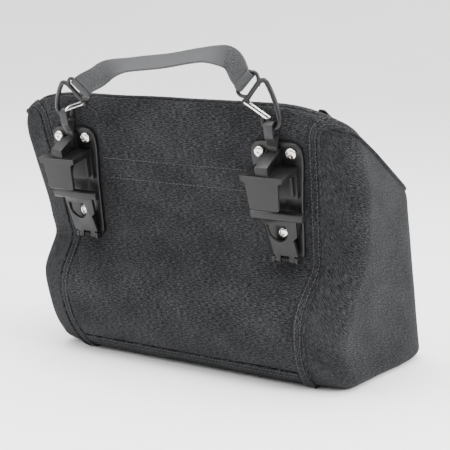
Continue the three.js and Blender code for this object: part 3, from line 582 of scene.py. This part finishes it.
def full_paths(columns, round_by):
    """For each column: the wall up to the lid's surface, a rounded rim, the lid surface inwards.

    Returns the dense paths and the running length at which each meets the rim's corner.
    """
    paths, rims = [], []
    for c in range(columns.shape[1]):
        wall = columns[:, c]
        gap = wall[:, 2] - top_height(wall[:, 0], wall[:, 1])
        k = int(np.argmax(gap > 0))
        t = gap[k - 1] / (gap[k - 1] - gap[k])
        rim = wall[k - 1] + (wall[k] - wall[k - 1]) * t
        inward = lid_edge(rim[None], 1.2)[0]
        steps = np.linspace(0, 1, 60)[:, None]
        top = rim + (inward - rim) * steps
        top[:, 2] = top_height(top[:, 0], top[:, 1])
        wall = np.vstack([wall[:k], rim])
        wall_run, top_run = arc_length(wall), arc_length(top)
        radius = min(round_by[c], 0.45 * top_run[-1])
        start = resample(wall, [wall_run[-1] - radius])
        end = resample(top, [radius])
        bend = parabola(start, rim, end, np.linspace(0, 1, 24)[:, None])
        low = wall[wall_run < wall_run[-1] - radius - 0.05]
        high = top[top_run > radius + 0.05]
        paths.append(np.vstack([low, bend, high]))
        rims.append(arc_length(np.vstack([low, bend[:12]]))[-1])
    return paths, np.array(rims)


def stations(lengths, count):
    """Places along lines of the given lengths: close together near both ends, even between."""
    edge = np.array([0.0, 0.45, 1.0, 1.8, 3.0])
    scale = np.minimum(1.0, lengths / 14.0)[:, None]
    first = edge * scale
    last = lengths[:, None] - first[:, ::-1]
    inner = np.linspace(0, 1, count - 8)[1:-1]
    middle = first[:, -1:] + (last[:, :1] - first[:, -1:]) * inner
    return np.concatenate([first, middle, last], axis=1)


def section(paths, starts, ends, count):
    """Grid (count rows x one column per path) of the stretch of each path between two lengths."""
    at = stations(ends - starts, count) + starts[:, None]
    return np.stack([resample(path, s) for path, s in zip(paths, at)], axis=1)


def length_at_height(paths, height):
    """Running length at which each path reaches a height."""
    return np.array([np.interp(height, p[:, 2], arc_length(p)) for p in paths])


def mirror(grid):
    """The same grid on the other side of the bag, its columns in the opposite order."""
    flipped = grid[:, ::-1].copy()
    flipped[..., 0] *= -1
    return flipped


def both_halves(grid):
    """The right half's grid, whose first column is x = 0, joined to its mirror image."""
    return np.concatenate([mirror(grid)[:, :-1], grid], axis=1)


def undulate(points):
    """Slow unevenness of a foam-lined shell: a sum of a few long sine waves."""
    waves = np.random.default_rng(3)
    total = np.zeros(points.shape[:-1])
    for _ in range(7):
        direction = unit(waves.normal(size=3))
        length = waves.uniform(38, 110)
        total += np.sin(points @ direction * 2 * np.pi / length + waves.uniform(0, 6.3)) * length / 110
    return 0.22 * total


def cloth_panel(name, grid, seams, body, node, turn=0.0, wall=WALL, puckers=0.22):
    """Sewn panel on a grid of surface points: its edges roll in at each seam, with small puckers.

    seams says which of the left, right, bottom and top edges are sewn. The depth of the roll
    falls off as a bell curve of the distance to the seam, the puckers as a slower exponential.
    """
    across, along = arc_length(grid, axis=1), arc_length(grid, axis=0)
    to_edge = (across, across[:, -1:] - across, along, along[-1:] - along)
    run = (along, along, across, across)
    normal = grid_normals(grid)
    faces = grid_faces(*grid.shape[:2])
    if np.mean(np.sum(normal * (grid - BAG_MIDDLE), axis=-1)) < 0:
        normal = -normal
        faces = faces[:, ::-1]
    height = undulate(grid)
    for sewn, distance, place_along in zip(seams, to_edge, run):
        if sewn:
            height -= ROLL_DEPTH * np.exp(-(distance / ROLL_WIDTH) ** 2)
            drift = 1.7 * np.sin(place_along / PUCKER_DRIFT)
            ripple = np.sin(place_along * 2 * np.pi / PUCKER_PITCH + drift)
            height += puckers * ripple * np.exp(-distance / PUCKER_REACH)
    surface = grid + normal * height[..., None]
    half = grid.shape[1] // 2
    x = across - across[:, half:half + 1]
    uv = np.stack([x * math.cos(turn) - along * math.sin(turn),
                   x * math.sin(turn) + along * math.cos(turn)], axis=-1) * MM
    obj = new_object(name, place(surface), faces, FABRIC, uv)
    obj.data.materials.append(LINING)
    thick = obj.modifiers.new("wall", "SOLIDIFY")
    thick.thickness = wall * MM
    thick.offset = -1
    thick.material_offset = 1
    thick.material_offset_rim = 0
    return ship(obj, body, "heather_fabric", node)


def build_shell():
    """Cuts the bag's surface along its seams into the sewn panels, and returns the whole skin."""
    heights = np.concatenate([np.linspace(0, 12, 9)[:-1], np.linspace(12, LOFT_TOP, 150)])
    columns = wall_columns(heights, {"back": BACK_COLUMNS, "end": END_COLUMNS, "front": BACK_COLUMNS})
    ease = smoothstep(np.linspace(0, 2.2, END_COLUMNS), 0, 1)
    rounding = {"back": np.full(BACK_COLUMNS, BACK_ROUND), "front": np.full(BACK_COLUMNS, FRONT_ROUND),
                "end": BACK_ROUND + (FRONT_ROUND - BACK_ROUND) * ease}
    made, tops = {}, []
    for part in ("back", "end", "front"):
        paths, rims = full_paths(columns[part], rounding[part])
        lengths = np.array([arc_length(p)[-1] for p in paths])
        if part == "back":
            seam = rims - 0.3
        elif part == "end":
            over = np.interp(np.linspace(0, 1, END_COLUMNS), [0, 0.1, 0.25, 0.85, 1], [-0.3, 1.5, 6, 6, 0])
            seam = rims + over
        else:
            seam = rims + 0.0
        low = length_at_height(paths, BASE_SEAM) if part != "end" else np.zeros(len(paths))
        made[part] = section(paths, low, seam, 104)
        made[part + "_foot"] = section(paths, np.zeros(len(paths)), low, 18) if part != "end" else None
        tops.append(section(paths, seam, lengths, 40))
    foot = made["end"][0]
    start = np.zeros_like(foot)
    start[:, 0] = SEAM_FOOT - 0.4
    start[:, 1] = np.linspace(foot[0, 1], foot[-1, 1], len(foot))
    floor = start[None] + (foot - start)[None] * np.linspace(0, 1, 14)[:, None, None]
    end = np.concatenate([floor[:-1], made["end"]], axis=0)
    back, front = both_halves(made["back"]), both_halves(made["front"][:, ::-1])
    under_steps = np.linspace(0, 1, 60)[1:-1, None, None]
    back_foot, front_foot = both_halves(made["back_foot"]), both_halves(made["front_foot"][:, ::-1])
    under = back_foot[0][None] + (front_foot[0] - back_foot[0])[None] * under_steps
    base = np.concatenate([back_foot[::-1], under, front_foot], axis=0)
    half_top = np.concatenate([tops[0], tops[1][:, 1:], tops[2][:, 1:]], axis=1)
    ring = np.concatenate([half_top, mirror(half_top)[:, 1:]], axis=1)
    cloth_panel("back_cloth", back, (0, 0, 1, 1), "bag", "back_panel")
    cloth_panel("front_cloth", front, (0, 0, 1, 1), "bag", "front_panel")
    cloth_panel("base_cloth", base, (0, 0, 1, 1), "bag", "base_panel", puckers=0.1)
    cloth_panel("end_cloth_right", end, (0, 0, 0, 1), "bag", "end_panel_right", turn=0.5)
    cloth_panel("end_cloth_left", mirror(end), (0, 0, 0, 1), "bag", "end_panel_left", turn=-0.5)
    cloth_panel("top_cloth", ring, (0, 0, 1, 0), "bag", "top_panel")
    lid = lid_grid(0.0)
    cloth_panel("lid_cloth", lid, (1, 1, 1, 1), "lid", "lid_panel", wall=3.6)
    skin = [back, front, base, end, mirror(end), ring, lid]
    return {"skin": skin, "end": end, "back": back, "front": front, "base": base}


def lid_grid(grow, rows=70, cols=90):
    """Rounded rectangle on the slope: each row is as wide as the outline is at that place."""
    s = np.linspace(LID_BACK - grow, LID_FRONT + grow, rows)
    half = np.full(rows, LID_HALF + grow)
    for corner, inwards in ((LID_BACK_CORNER, s - s[0]), (LID_FRONT_CORNER, s[-1] - s)):
        left = corner - np.clip(inwards, 0, corner)
        half -= corner - np.sqrt(corner ** 2 - left ** 2)
    x = half[:, None] * np.linspace(-1, 1, cols)[None]
    y = np.broadcast_to((TOP_START + s * math.cos(SLOPE_ANGLE))[:, None], x.shape)
    return np.stack([x, y, top_height(x, y)], axis=-1)


def lid_outline(grow, count):
    """The lid's edge as a line: from the hinge's left end round the front to its right end."""
    corner = LID_FRONT_CORNER + grow
    left, far = -(LID_HALF + grow), LID_FRONT + grow
    turn = np.linspace(0, np.pi / 2, 20)
    first = np.stack([left + corner - corner * np.cos(turn), far - corner + corner * np.sin(turn)], axis=1)
    second = np.stack([-first[::-1, 0], first[::-1, 1]], axis=1)
    flat = np.vstack([[[left, LID_BACK + 3]], first, second, [[-left, LID_BACK + 3]]])
    flat = np.column_stack([flat, np.zeros(len(flat))])
    dense = resample(flat, np.linspace(0, arc_length(flat)[-1], count))
    y = TOP_START + dense[:, 1] * math.cos(SLOPE_ANGLE)
    return np.stack([dense[:, 0], y, top_height(dense[:, 0], y)], axis=1)


# ---- seam bands and stitching -------------------------------------------------------------
class Skin:
    """The whole outer surface as one search tree, to lay trims on."""

    def __init__(self, grids):
        """Joins the grids of points into one mesh for searching."""
        from mathutils.bvhtree import BVHTree
        verts, faces, start = [], [], 0
        for grid in grids:
            rows, cols = grid.shape[:2]
            verts.append(grid.reshape(-1, 3))
            faces.append(grid_faces(rows, cols) + start)
            start += rows * cols
        self.tree = BVHTree.FromPolygons(np.concatenate(verts).tolist(), np.concatenate(faces).tolist())

    def lay(self, points, height):
        """Moves points to the nearest place on the surface, then outwards by height."""
        flat = points.reshape(-1, 3)
        lift = np.broadcast_to(height, points.shape[:-1]).reshape(-1)
        done = np.empty_like(flat)
        for i, (point, up) in enumerate(zip(flat, lift)):
            spot, normal, _, _ = self.tree.find_nearest(point.tolist())
            normal = np.array(normal)
            spot = np.array(spot)
            if np.dot(normal, spot - BAG_MIDDLE) < 0:
                normal = -normal
            done[i] = spot + normal * up
        return done.reshape(points.shape)

    def normals(self, points):
        """Outward unit normals at the places nearest to points."""
        return self.lay(points, 1.0) - self.lay(points, 0.0)


def end_border(end, inset, corner, count):
    """Closed line round an end panel, a steady distance inside its border, with round corners."""
    across, along = arc_length(end, axis=1), arc_length(end, axis=0)
    rows, cols = end.shape[:2]

    def inside(run):
        """Fractional indices where a running length is inset from its start and its end."""
        return [np.interp(place_along, run, np.arange(len(run))) for place_along in (inset, run[-1] - inset)]

    edges = np.array([inside(along[:, c]) for c in range(cols)])
    sides = np.array([inside(across[r]) for r in range(rows)])

    def at(row, col):
        """Point of the panel at a fractional row and column."""
        r0, c0 = int(min(row, rows - 2)), int(min(col, cols - 2))
        fr, fc = row - r0, col - c0
        return ((1 - fr) * ((1 - fc) * end[r0, c0] + fc * end[r0, c0 + 1]) +
                fr * ((1 - fc) * end[r0 + 1, c0] + fc * end[r0 + 1, c0 + 1]))

    rear = [at(r, sides[r, 0]) for r in range(rows) if edges[0, 0] < r < edges[0, 1]]
    top = [at(edges[c, 1], c) for c in range(cols) if sides[-1, 0] < c < sides[-1, 1]]
    ahead = [at(r, sides[r, 1]) for r in range(rows) if edges[-1, 0] < r < edges[-1, 1]][::-1]
    under = [at(edges[c, 0], c) for c in range(cols) if sides[0, 0] < c < sides[0, 1]][::-1]
    line = round_corners([np.array(s) for s in (rear, top, ahead, under)], corner)
    return resample(line, np.linspace(0, arc_length(line)[-1], count + 1)[:-1])


def round_corners(stretches, corner):
    """Joins stretches end to end in a ring, each corner cut back and replaced by a parabola."""
    cut = []
    for stretch in stretches:
        run = arc_length(stretch)
        step = np.linspace(corner, run[-1] - corner, max(int(run[-1] / 2), 8))
        cut.append((resample(stretch, step), stretch))
    pieces = []
    t = np.linspace(0, 1, 18)[1:-1, None]
    for i, (kept, whole) in enumerate(cut):
        following = cut[(i + 1) % len(cut)]
        tip = (whole[-1] + following[1][0]) / 2
        pieces.append(kept)
        pieces.append(parabola(kept[-1], tip, following[0][0], t))
    pieces.append(cut[0][0][:1])
    return np.vstack(pieces)


BAND_STITCH_ROWS = (-3.5, 1.5)
BAND_PROFILE = np.array([  # place across the band from its inner edge, height over the cloth
    [-5.6, -0.9], [-5.5, 0.3], [-5.1, 1.05], [-4.4, 1.3], [-3.5, 1.12], [-2.6, 1.3], [-1.0, 1.42],
    [0.6, 1.4], [1.5, 1.16], [2.4, 1.3], [3.2, 0.7], [3.5, 1.7], [4.2, 2.7], [4.9, 2.65],
    [5.5, 1.7], [5.7, 0.2], [5.75, -0.9]])


def ribbon(name, line, skin, profile, material, closed=False, outer=0):
    """Carries a flat profile along a line on the skin; the profile's x lies across the line.

    On a closed line outer is 1 or -1: the side of the bag, by X, that the profile's x points to.
    """
    normal = skin.normals(line)
    side = unit(np.cross(directions(line, closed), normal))
    if closed and np.mean(side[:, 0]) * outer < 0:
        side = -side
    across = line[:, None] + side[:, None] * profile[None, :, :1]
    surface = skin.lay(across, profile[None, :, 1] * np.ones((len(line), 1)))
    if closed:
        surface = np.concatenate([surface, surface[:1]], axis=0)
    rows = surface.shape[0]
    run = arc_length(surface, axis=0)
    uv = np.stack([run, np.broadcast_to(profile[None, :, 0], run.shape)], axis=-1) * MM
    faces = grid_faces(*surface.shape[:2])
    if np.mean(np.sum(grid_normals(surface)[:-1] * normal[:rows - 1, None], axis=-1)) < 0:
        faces = faces[:, ::-1]
    return new_object(name, place(surface), faces, material, uv), side


def stitches(name, line, skin, shift, height, side, closed=False, pitch=3.4, thread=0.33):
    """Row of short thread humps sunk at both ends into the cloth, all in one piece on the bag."""
    if closed:
        line, side = np.vstack([line, line[:1]]), np.vstack([side, side[:1]])
    run = arc_length(line)
    count = int(run[-1] / pitch)
    middle = (np.arange(count) + 0.5) * run[-1] / count
    steps = np.array([-0.5, -0.3, 0.0, 0.3, 0.5]) * pitch * 0.74
    rise = np.array([-0.35, 0.22, 0.34, 0.22, -0.35])
    at = (middle[:, None] + steps[None]).ravel()
    spots = resample(line, at) + read_along(at, run, side) * shift
    laid = skin.lay(spots, np.tile(rise, count) + height)
    ahead = unit(np.gradient(laid.reshape(count, 5, 3), axis=1).reshape(-1, 3))
    beside = unit(np.cross(ahead, skin.normals(spots)))
    angle = np.linspace(0, 2 * np.pi, 5, endpoint=False)
    up = np.cross(beside, ahead)
    ring = laid[:, None] + thread * (np.cos(angle)[None, :, None] * beside[:, None] +
                                     np.sin(angle)[None, :, None] * up[:, None])
    faces = (grid_faces(5, 5, wrap=True)[None] + (np.arange(count) * 25)[:, None, None]).reshape(-1, 4)
    ship(new_object(name, place(ring), faces, THREAD), "bag", "heather_fabric")


def build_bands(shell, skin):
    """Double-stitched band round each end panel, its rolled welt on the end panel's side."""
    for side_name, outer, end in (("right", 1, shell["end"]), ("left", -1, mirror(shell["end"])[:, ::-1])):
        line = end_border(end, BAND_INSET, BAND_CORNER, 420)
        band, across = ribbon(f"band_{side_name}", line, skin, BAND_PROFILE, BAND_CLOTH, True, outer)
        ship(band, "bag", "heather_fabric", f"seam_band_{side_name}")
        for i, shift in enumerate(BAND_STITCH_ROWS):
            stitches(f"band_stitches_{side_name}_{i + 1}", line, skin, shift, 1.02, across, closed=True)


BASE_BAND_DROP = 6.6           # the binding's middle, below the panel's lower edge
BASE_STITCH_ROWS = (("a", -3.4), ("b", 1.8))
BASE_PROFILE = np.array([[-5.4, -0.6], [-5.3, 0.25], [-4.8, 0.75], [-3.4, 0.6], [-1.8, 0.85], [0.0, 0.9],
                         [1.8, 0.62], [3.4, 0.85], [4.8, 0.8], [5.3, 0.25], [5.4, -0.6]])


def build_base_band(shell, skin):
    """Binding round the foot of the back and the front, between the two end bands."""
    pieces = []
    for grid, name in ((shell["back"], "back"), (shell["front"], "front")):
        line = grid[0].copy()
        x = np.linspace(line[0, 0] * 0.985, line[-1, 0] * 0.985, 150)
        line = np.stack([np.interp(x, *sorted_pair(line, k)) for k in range(3)], axis=-1)
        line = skin.lay(line - np.array([0, 0, BASE_BAND_DROP]), 0.0)
        band, across = ribbon(f"base_band_{name}", line, skin, BASE_PROFILE, BAND_CLOTH)
        pieces.append(band)
        for row, shift in BASE_STITCH_ROWS:
            stitches(f"base_stitches_{name}_{row}", line, skin, shift, 0.5, across)
    ship(merge("base_band", pieces), "bag", "heather_fabric", "seam_band_base")


def sorted_pair(line, axis):
    """(x, value) arrays of a line in order of rising x, for np.interp."""
    order = np.argsort(line[:, 0])
    return line[order, 0], line[order, axis]


POCKET_HEIGHTS, POCKET_HALF = (202.6, 183.3), 84


def build_quilting(skin):
    """Two sewn lines across the back that hold the stiffener's pocket."""
    for i, height in enumerate(POCKET_HEIGHTS):
        x = np.linspace(-POCKET_HALF, POCKET_HALF, 90)
        depth = np.full_like(x, read(BACK_DEPTH, np.array([height]))[0])
        line = np.stack([x, depth, np.full_like(x, height)], axis=1)
        side = np.tile([0.0, 0.0, 1.0], (len(line), 1))
        stitches(f"pocket_stitches_{i + 1}", line, skin, 0.0, -0.15, side, pitch=3.8, thread=0.3)


# ---- zip --------------------------------------------------------------------------------
TAPE_PROFILE = np.array([[-1.25, -0.4], [-1.2, 0.55], [-0.9, 0.8], [0.9, 0.8], [1.2, 0.55], [1.25, -0.4]])


def coil(name, line, skin, pitch=1.5):
    """Zip coil: a flattened helix that winds along the line, one turn per tooth."""
    run = arc_length(line)
    turns = int(run[-1] / pitch)
    angle = np.linspace(0, turns * 2 * np.pi, turns * 8)
    at = np.linspace(0, run[-1], len(angle))
    spots = resample(line, at)
    normal = skin.normals(spots)
    side = np.cross(directions(spots), normal)
    base = skin.lay(spots, 1.15)
    path = base + side * (0.95 * np.cos(angle))[:, None] + normal * (0.42 * np.sin(angle))[:, None]
    return tube(name, place(path), 0.3 * MM, COIL, sides=4)


def build_zip(skin):
    """Two tapes with their coils, one each side of the lid's edge, and the slider with its puller."""
    for half, body, tape_out, coil_out in (("shell", "bag", 1.65, 0.95), ("lid", "lid", -1.3, -0.75)):
        tape, _ = ribbon(f"zip_cloth_{half}", lid_outline(tape_out, 420), skin, TAPE_PROFILE, TAPE)
        ship(tape, body, "zip", f"zip_tape_{half}")
        ship(coil(f"zip_coil_{half}", lid_outline(coil_out, 900), skin), body, "zip")
    for name, part in (("slider_body", "slider"), ("puller_tab", "puller")):
        ship(bevelled(name, ENAMEL, 0.35, f"zip_{part}"), part, "steel", f"zip_{part}")


# ---- hard pieces --------------------------------------------------------------------------
def bevelled(name, material, width, node):
    """Copy of a frame node with its flat faces joined up and every hard edge rounded."""
    import bmesh
    work = bmesh.new()
    work.from_mesh(frame["nodes"][node].data)
    bmesh.ops.remove_doubles(work, verts=work.verts, dist=2e-6)
    bmesh.ops.dissolve_limit(work, angle_limit=math.radians(1.5), verts=work.verts, edges=work.edges)
    mesh = bpy.data.meshes.new(name)
    work.to_mesh(mesh)
    work.free()
    mesh.materials.clear()
    mesh.materials.append(material)
    mesh.polygons.foreach_set("use_smooth", [True] * len(mesh.polygons))
    mesh.polygons.foreach_set("material_index", [0] * len(mesh.polygons))
    obj = link_object(name, mesh)
    edge = obj.modifiers.new("edges", "BEVEL")
    edge.width = width * MM
    edge.segments = 3
    edge.limit_method = "ANGLE"
    edge.angle_limit = math.radians(24)
    edge.harden_normals = True
    return obj


def rounded_copy(name, material, voxel, rounds, node):
    """Copy of a wire-like frame node, remeshed finely and relaxed into a smooth bent rod."""
    mesh = frame["nodes"][node].data.copy()
    mesh.name = name
    mesh.materials.clear()
    mesh.materials.append(material)
    obj = link_object(name, mesh)
    grid = obj.modifiers.new("grid", "REMESH")
    grid.mode = "VOXEL"
    grid.voxel_size = voxel * MM
    grid.use_smooth_shade = True
    relax = obj.modifiers.new("relax", "SMOOTH")
    relax.factor = 0.5
    relax.iterations = rounds
    return obj


def dress(material, *nodes):
    """Gives frame nodes that stay visible a finer finish."""
    for node in nodes:
        data = frame["nodes"][node].data
        data.materials.clear()
        data.materials.append(material)


HOOK_ORIGIN = np.array([0.0, HOOK_DEPTH, HOOK_HEIGHT])
HOOK_UP = np.array([0.0, -math.sin(HOOK_TILT), math.cos(HOOK_TILT)])
HOOK_OUT = np.array([0.0, -math.cos(HOOK_TILT), -math.sin(HOOK_TILT)])
SCREWS = ((-15.5, 45.0), (15.5, 45.0), (0.0, -31.0))
HEAD_RADIUS, HEAD_SEAT, HEAD_RIM, HEAD_DOME = 5.25, 5.35, 1.5, 2.1
RIM_START = 0.93               # share of the head's radius where its side wall begins
CROSS_HALF_WIDTH, CROSS_REACH, CROSS_DEPTH = 0.62, 2.75, 1.9


def on_hook(side, x, up, out):
    """Layout point of a place given in a hook's own directions."""
    x, up, out = np.broadcast_arrays(x, up, out)
    across = np.array([1.0, 0.0, 0.0])
    start = HOOK_ORIGIN + across * side * HOOK_X
    return start + x[..., None] * across + up[..., None] * HOOK_UP + out[..., None] * HOOK_OUT


def screw_head(name, side, x0, up0, turn):
    """Pan head over radius and angle: a flat-topped dome pressed in by a tapering cross recess."""
    share = np.linspace(0, 1, 64)[:, None]
    angle = np.linspace(0, 2 * np.pi, 97)[None, :-1]
    rim = share > RIM_START
    radius = np.where(rim, 1.0, share / RIM_START) * HEAD_RADIUS
    dome = np.sqrt(np.clip(1 - (radius / HEAD_RADIUS) ** 2.6, 0, 1))
    wall = 1 - (share - RIM_START) / (1 - RIM_START)
    height = HEAD_SEAT + np.where(rim, HEAD_RIM * wall, HEAD_RIM + HEAD_DOME * dome)
    u = radius * np.cos(angle + turn)
    v = radius * np.sin(angle + turn)
    narrow, wide = np.minimum(np.abs(u), np.abs(v)), np.maximum(np.abs(u), np.abs(v))
    inside = np.clip((CROSS_HALF_WIDTH - narrow) / 0.16, 0, 1) * np.clip((CROSS_REACH - wide) / 0.35, 0, 1)
    height = height - CROSS_DEPTH * inside * np.clip(1.25 - wide / 3.2, 0.35, 1)
    grid = on_hook(side, x0 + radius * np.cos(angle), up0 + radius * np.sin(angle), height + 0 * angle)
    rows, cols = grid.shape[:2]
    return new_object(name, place(grid), grid_faces(rows, cols, wrap=True)[:, ::-1], STEEL)


def build_hooks():
    """The five moulded or woven parts of each hook, its screw heads, and finishes for the rest."""
    for side_name, side in (("right", 1), ("left", -1)):
        tag = f"_{side_name}"
        parts = (("base_plate", PLASTIC, 0.7, "hook_base", "bag", "hook_plastic"),
                 ("claw", PLASTIC, 0.45, "hook_claw", "bag", "hook_plastic"),
                 ("insert", INSERT, 0.3, "rail_insert", "bag", "hook_plastic"),
                 ("latch_tongue", PLASTIC, 0.55, "latch", f"latch{tag}", "hook_plastic"),
                 ("pull_tab", TAB, 0.5, "release_tab", f"tab{tag}", "tab_webbing"))
        for name, material, edge, node, body, slot in parts:
            ship(bevelled(name + tag, material, edge, node + tag), body, slot, node + tag)
        for i, (x, up) in enumerate(SCREWS):
            head = screw_head(f"screw_head{tag}_{i + 1}", side, x, up, RNG.uniform(0, 1.5))
            ship(head, "bag", "steel")
            dress(STEEL, f"hook_screw{tag}_{i + 1}", f"hook_nut{tag}_{i + 1}")
        dress(BLACKED, f"latch_pin{tag}", f"latch_spring{tag}")
    dress(BOARD, "back_stiffener", "base_board")


# ---- release handle -------------------------------------------------------------------------
SNAP_Y = -6.1
SNAP_POSE = {"left": (-1, -114.0, math.radians(32), math.radians(-10)), "right": (1, 114.2, 0.0, 0.0)}
SNAP_HEIGHT, PIVOT_DROP = 250.4, 6.8
SNAP_APEX, SNAP_PIVOT = np.array([-10.5, 33.0]), np.array([-27.6, 14.8])
EYE_OUT, EYE_BAR = 13.5, 1.8
STRAP_WIDTH, STRAP_THICK = 20.0, 2.0
STRAP_LIFT = EYE_BAR + 0.4 + STRAP_THICK / 2
STRAP_LINE = [(-64, -20, 281.5), (-55.5, -14, 288), (-34, -9, 293.3), (2, -6.5, 298), (33, -6, 303),
              (54, -7, 304.8), (72, -7, 301.5)]


def eye_bar(side_name):
    """Middle of a snap hook's strap bar, the bar's direction and the way out of the eye."""
    side, x, lean, roll = SNAP_POSE[side_name]
    along = unit(SNAP_APEX - SNAP_PIVOT)
    away = np.array([-along[1], along[0]])
    middle = (SNAP_APEX + SNAP_PIVOT) / 2 + away * EYE_OUT
    c, s = math.cos(side * roll), math.sin(side * roll)
    turn_y = np.array([[c, 0, s], [0, 1, 0], [-s, 0, c]])
    c, s = math.cos(lean), math.sin(lean)
    turn_x = np.array([[1, 0, 0], [0, c, -s], [0, s, c]])
    turned = turn_x @ turn_y
    start = np.array([x, SNAP_Y, SNAP_HEIGHT - PIVOT_DROP])
    spot = start + turned @ np.array([side * middle[0], 0, middle[1] + PIVOT_DROP])
    bar = turned @ np.array([side * along[0], 0, along[1]])
    out = turned @ np.array([side * away[0], 0, away[1]])
    return spot, bar, out


def strap_frames(count):
    """Points along the strap with its width and face directions, twisting to lie on each eye bar."""
    left, left_bar, left_out = eye_bar("left")
    right, right_bar, right_out = eye_bar("right")
    first, last = left + left_out * STRAP_LIFT, right + right_out * STRAP_LIFT
    line = curve_through([first, first + left_out * 4, *STRAP_LINE, last + right_out * 4, last], count)
    share = np.linspace(0, 1, count)[:, None]
    ahead = directions(line)
    across = np.tile([0.0, 0.78, 0.62], (count, 1))
    for from_end, bar in ((share, left_bar), (1 - share, right_bar)):
        across = across + (bar - across) * (1 - smoothstep(from_end, 0.02, 0.3))
    across = unit(across - ahead * np.sum(across * ahead, axis=1, keepdims=True))
    return line, across, np.cross(ahead, across)


STRAP_EDGE = np.array([  # one turn round the strap's section: place across, place through
    [-1.0, -0.30], [-0.97, -0.46], [-0.9, -0.5], [-0.6, -0.5], [-0.3, -0.5], [0, -0.5], [0.3, -0.5],
    [0.6, -0.5], [0.9, -0.5], [0.97, -0.46], [1.0, -0.30], [1.0, 0.30], [0.97, 0.46], [0.9, 0.5],
    [0.6, 0.5], [0.3, 0.5], [0, 0.5], [-0.3, 0.5], [-0.6, 0.5], [-0.9, 0.5], [-0.97, 0.46], [-1.0, 0.30]])


def band_along(name, line, across, face, width, thick, shift=0.0, cup=0.0):
    """Flat woven band: a rounded slim section carried along given directions, with closed ends."""
    x = STRAP_EDGE[None, :, :1] * width / 2
    through = STRAP_EDGE[None, :, 1:] * thick + shift + cup * (STRAP_EDGE[None, :, :1] ** 2 - 0.4)
    points = line[:, None] + across[:, None] * x + face[:, None] * through
    run = arc_length(line)
    uv = np.stack(np.broadcast_arrays(run[:, None], STRAP_EDGE[None, :, 0] * width / 2), axis=-1) * MM
    obj = new_object(name, place(points), capped(*points.shape[:2]), WEBBING, uv)
    face_out(obj)
    return obj


def fold_round_bar(name, spot, bar, out):
    """The strap's turn round an eye bar, seen from the side nearly a full circle."""
    turn = np.linspace(0.15, 2 * np.pi - 0.15, 40)
    ray = np.cos(turn)[:, None] * out + np.sin(turn)[:, None] * np.cross(bar, out)
    across = np.tile(bar, (len(turn), 1))
    return band_along(name, spot + ray * STRAP_LIFT, across, ray, STRAP_WIDTH, STRAP_THICK)


def strap_stitches(line, across, face, first, last, lift):
    """Box of stitches with a cross in it, sewn through a folded strap end."""
    run = arc_length(line)
    low, high = run[first], run[last]
    half = STRAP_WIDTH / 2 - 2.6
    corners = [(low, -half), (high, -half), (high, half), (low, half), (low, -half), (high, half)]
    corners += [(high, -half), (low, half)]
    pieces = []
    for (a, b), (c, d) in zip(corners[:-1], corners[1:]):
        length = math.hypot(c - a, d - b)
        count = max(int(length / 2.9), 1)
        for i in range(count):
            t = (i + np.array([0.15, 0.5, 0.85])) / count
            at, side = a + (c - a) * t, b + (d - b) * t
            rise = lift + np.array([-0.2, 0.25, -0.2])
            path = (resample(line, at) + read_along(at, run, across) * side[:, None] +
                    read_along(at, run, face) * rise[:, None])
            pieces.append(tube("stitch", place(path), 0.32 * MM, PALE_THREAD, sides=5))
    return merge("strap_stitches", pieces)


def build_handle():
    """Strap with its folded, stitched ends, and the two snap hooks with their wire gates."""
    count = 220
    line, across, face = strap_frames(count)
    wave = 0.5 * np.sin(np.linspace(0, 9, count)) * np.sin(np.linspace(0, np.pi, count))
    line = line + face * wave[:, None]
    pieces = [band_along("strap_main", line, across, face, STRAP_WIDTH, STRAP_THICK, cup=0.35)]
    for first, last in ((4, 34), (count - 34, count - 5)):
        part = slice(first, last)
        pieces.append(band_along("strap_tail", line[part], across[part], face[part], STRAP_WIDTH - 0.6,
                                 STRAP_THICK * 0.9, shift=-STRAP_THICK * 0.92, cup=0.35))
    for side_name in ("left", "right"):
        pieces.append(fold_round_bar("strap_fold", *eye_bar(side_name)))
    ship(merge("strap", pieces), "handle", "webbing", "handle_strap")
    for i, (first, last) in enumerate(((9, 30), (count - 31, count - 10))):
        thread = strap_stitches(line, across, face, first, last, STRAP_THICK / 2 + 0.1)
        thread.name = f"strap_stitches_{i + 1}"
        ship(thread, "handle", "webbing")
    for side_name in ("left", "right"):
        snap = rounded_copy(f"snap_{side_name}", SNAP_PLASTIC, 0.42, 9, f"snap_hook_{side_name}")
        ship(snap, "handle", "hook_plastic", f"snap_hook_{side_name}")
        gate = rounded_copy(f"gate_wire_{side_name}", STEEL, 0.22, 5, f"wire_gate_{side_name}")
        ship(gate, f"gate_{side_name}", "steel", f"wire_gate_{side_name}")


# ---- the scene --------------------------------------------------------------------------------
FABRIC = heather_fabric()
BAND_CLOTH = heather_fabric("band_cloth", (0.0022, 0.0023, 0.0025), (0.036, 0.037, 0.040))
LINING = lining_fabric()
THREAD = thread_material()
PALE_THREAD = thread_material(0.05)
PLASTIC = moulded_plastic()
INSERT = moulded_plastic("insert_rubber", 0.008, 0.5)
SNAP_PLASTIC = moulded_plastic("snap_plastic", 0.006, 0.34)
STEEL = bright_steel()
ENAMEL = moulded_plastic("slider_enamel", 0.010, 0.25)
BLACKED = moulded_plastic("blackened_steel", 0.008, 0.40)
WEBBING = woven_strap("webbing", (0.008, 0.0085, 0.009), (0.040, 0.041, 0.044))
TAB = woven_strap("tab_webbing", (0.006, 0.006, 0.0065), (0.022, 0.022, 0.023), 0.45)
TAPE = woven_strap("zip_tape", (0.006, 0.006, 0.0065), (0.02, 0.02, 0.021), 0.7)
COIL = moulded_plastic("zip_coil", 0.012, 0.3)
BOARD = board_material()

make_camera()
make_studio()
shell = build_shell()
skin = Skin(shell["skin"])
build_bands(shell, skin)
build_base_band(shell, skin)
build_quilting(skin)
build_zip(skin)
build_hooks()
build_handle()
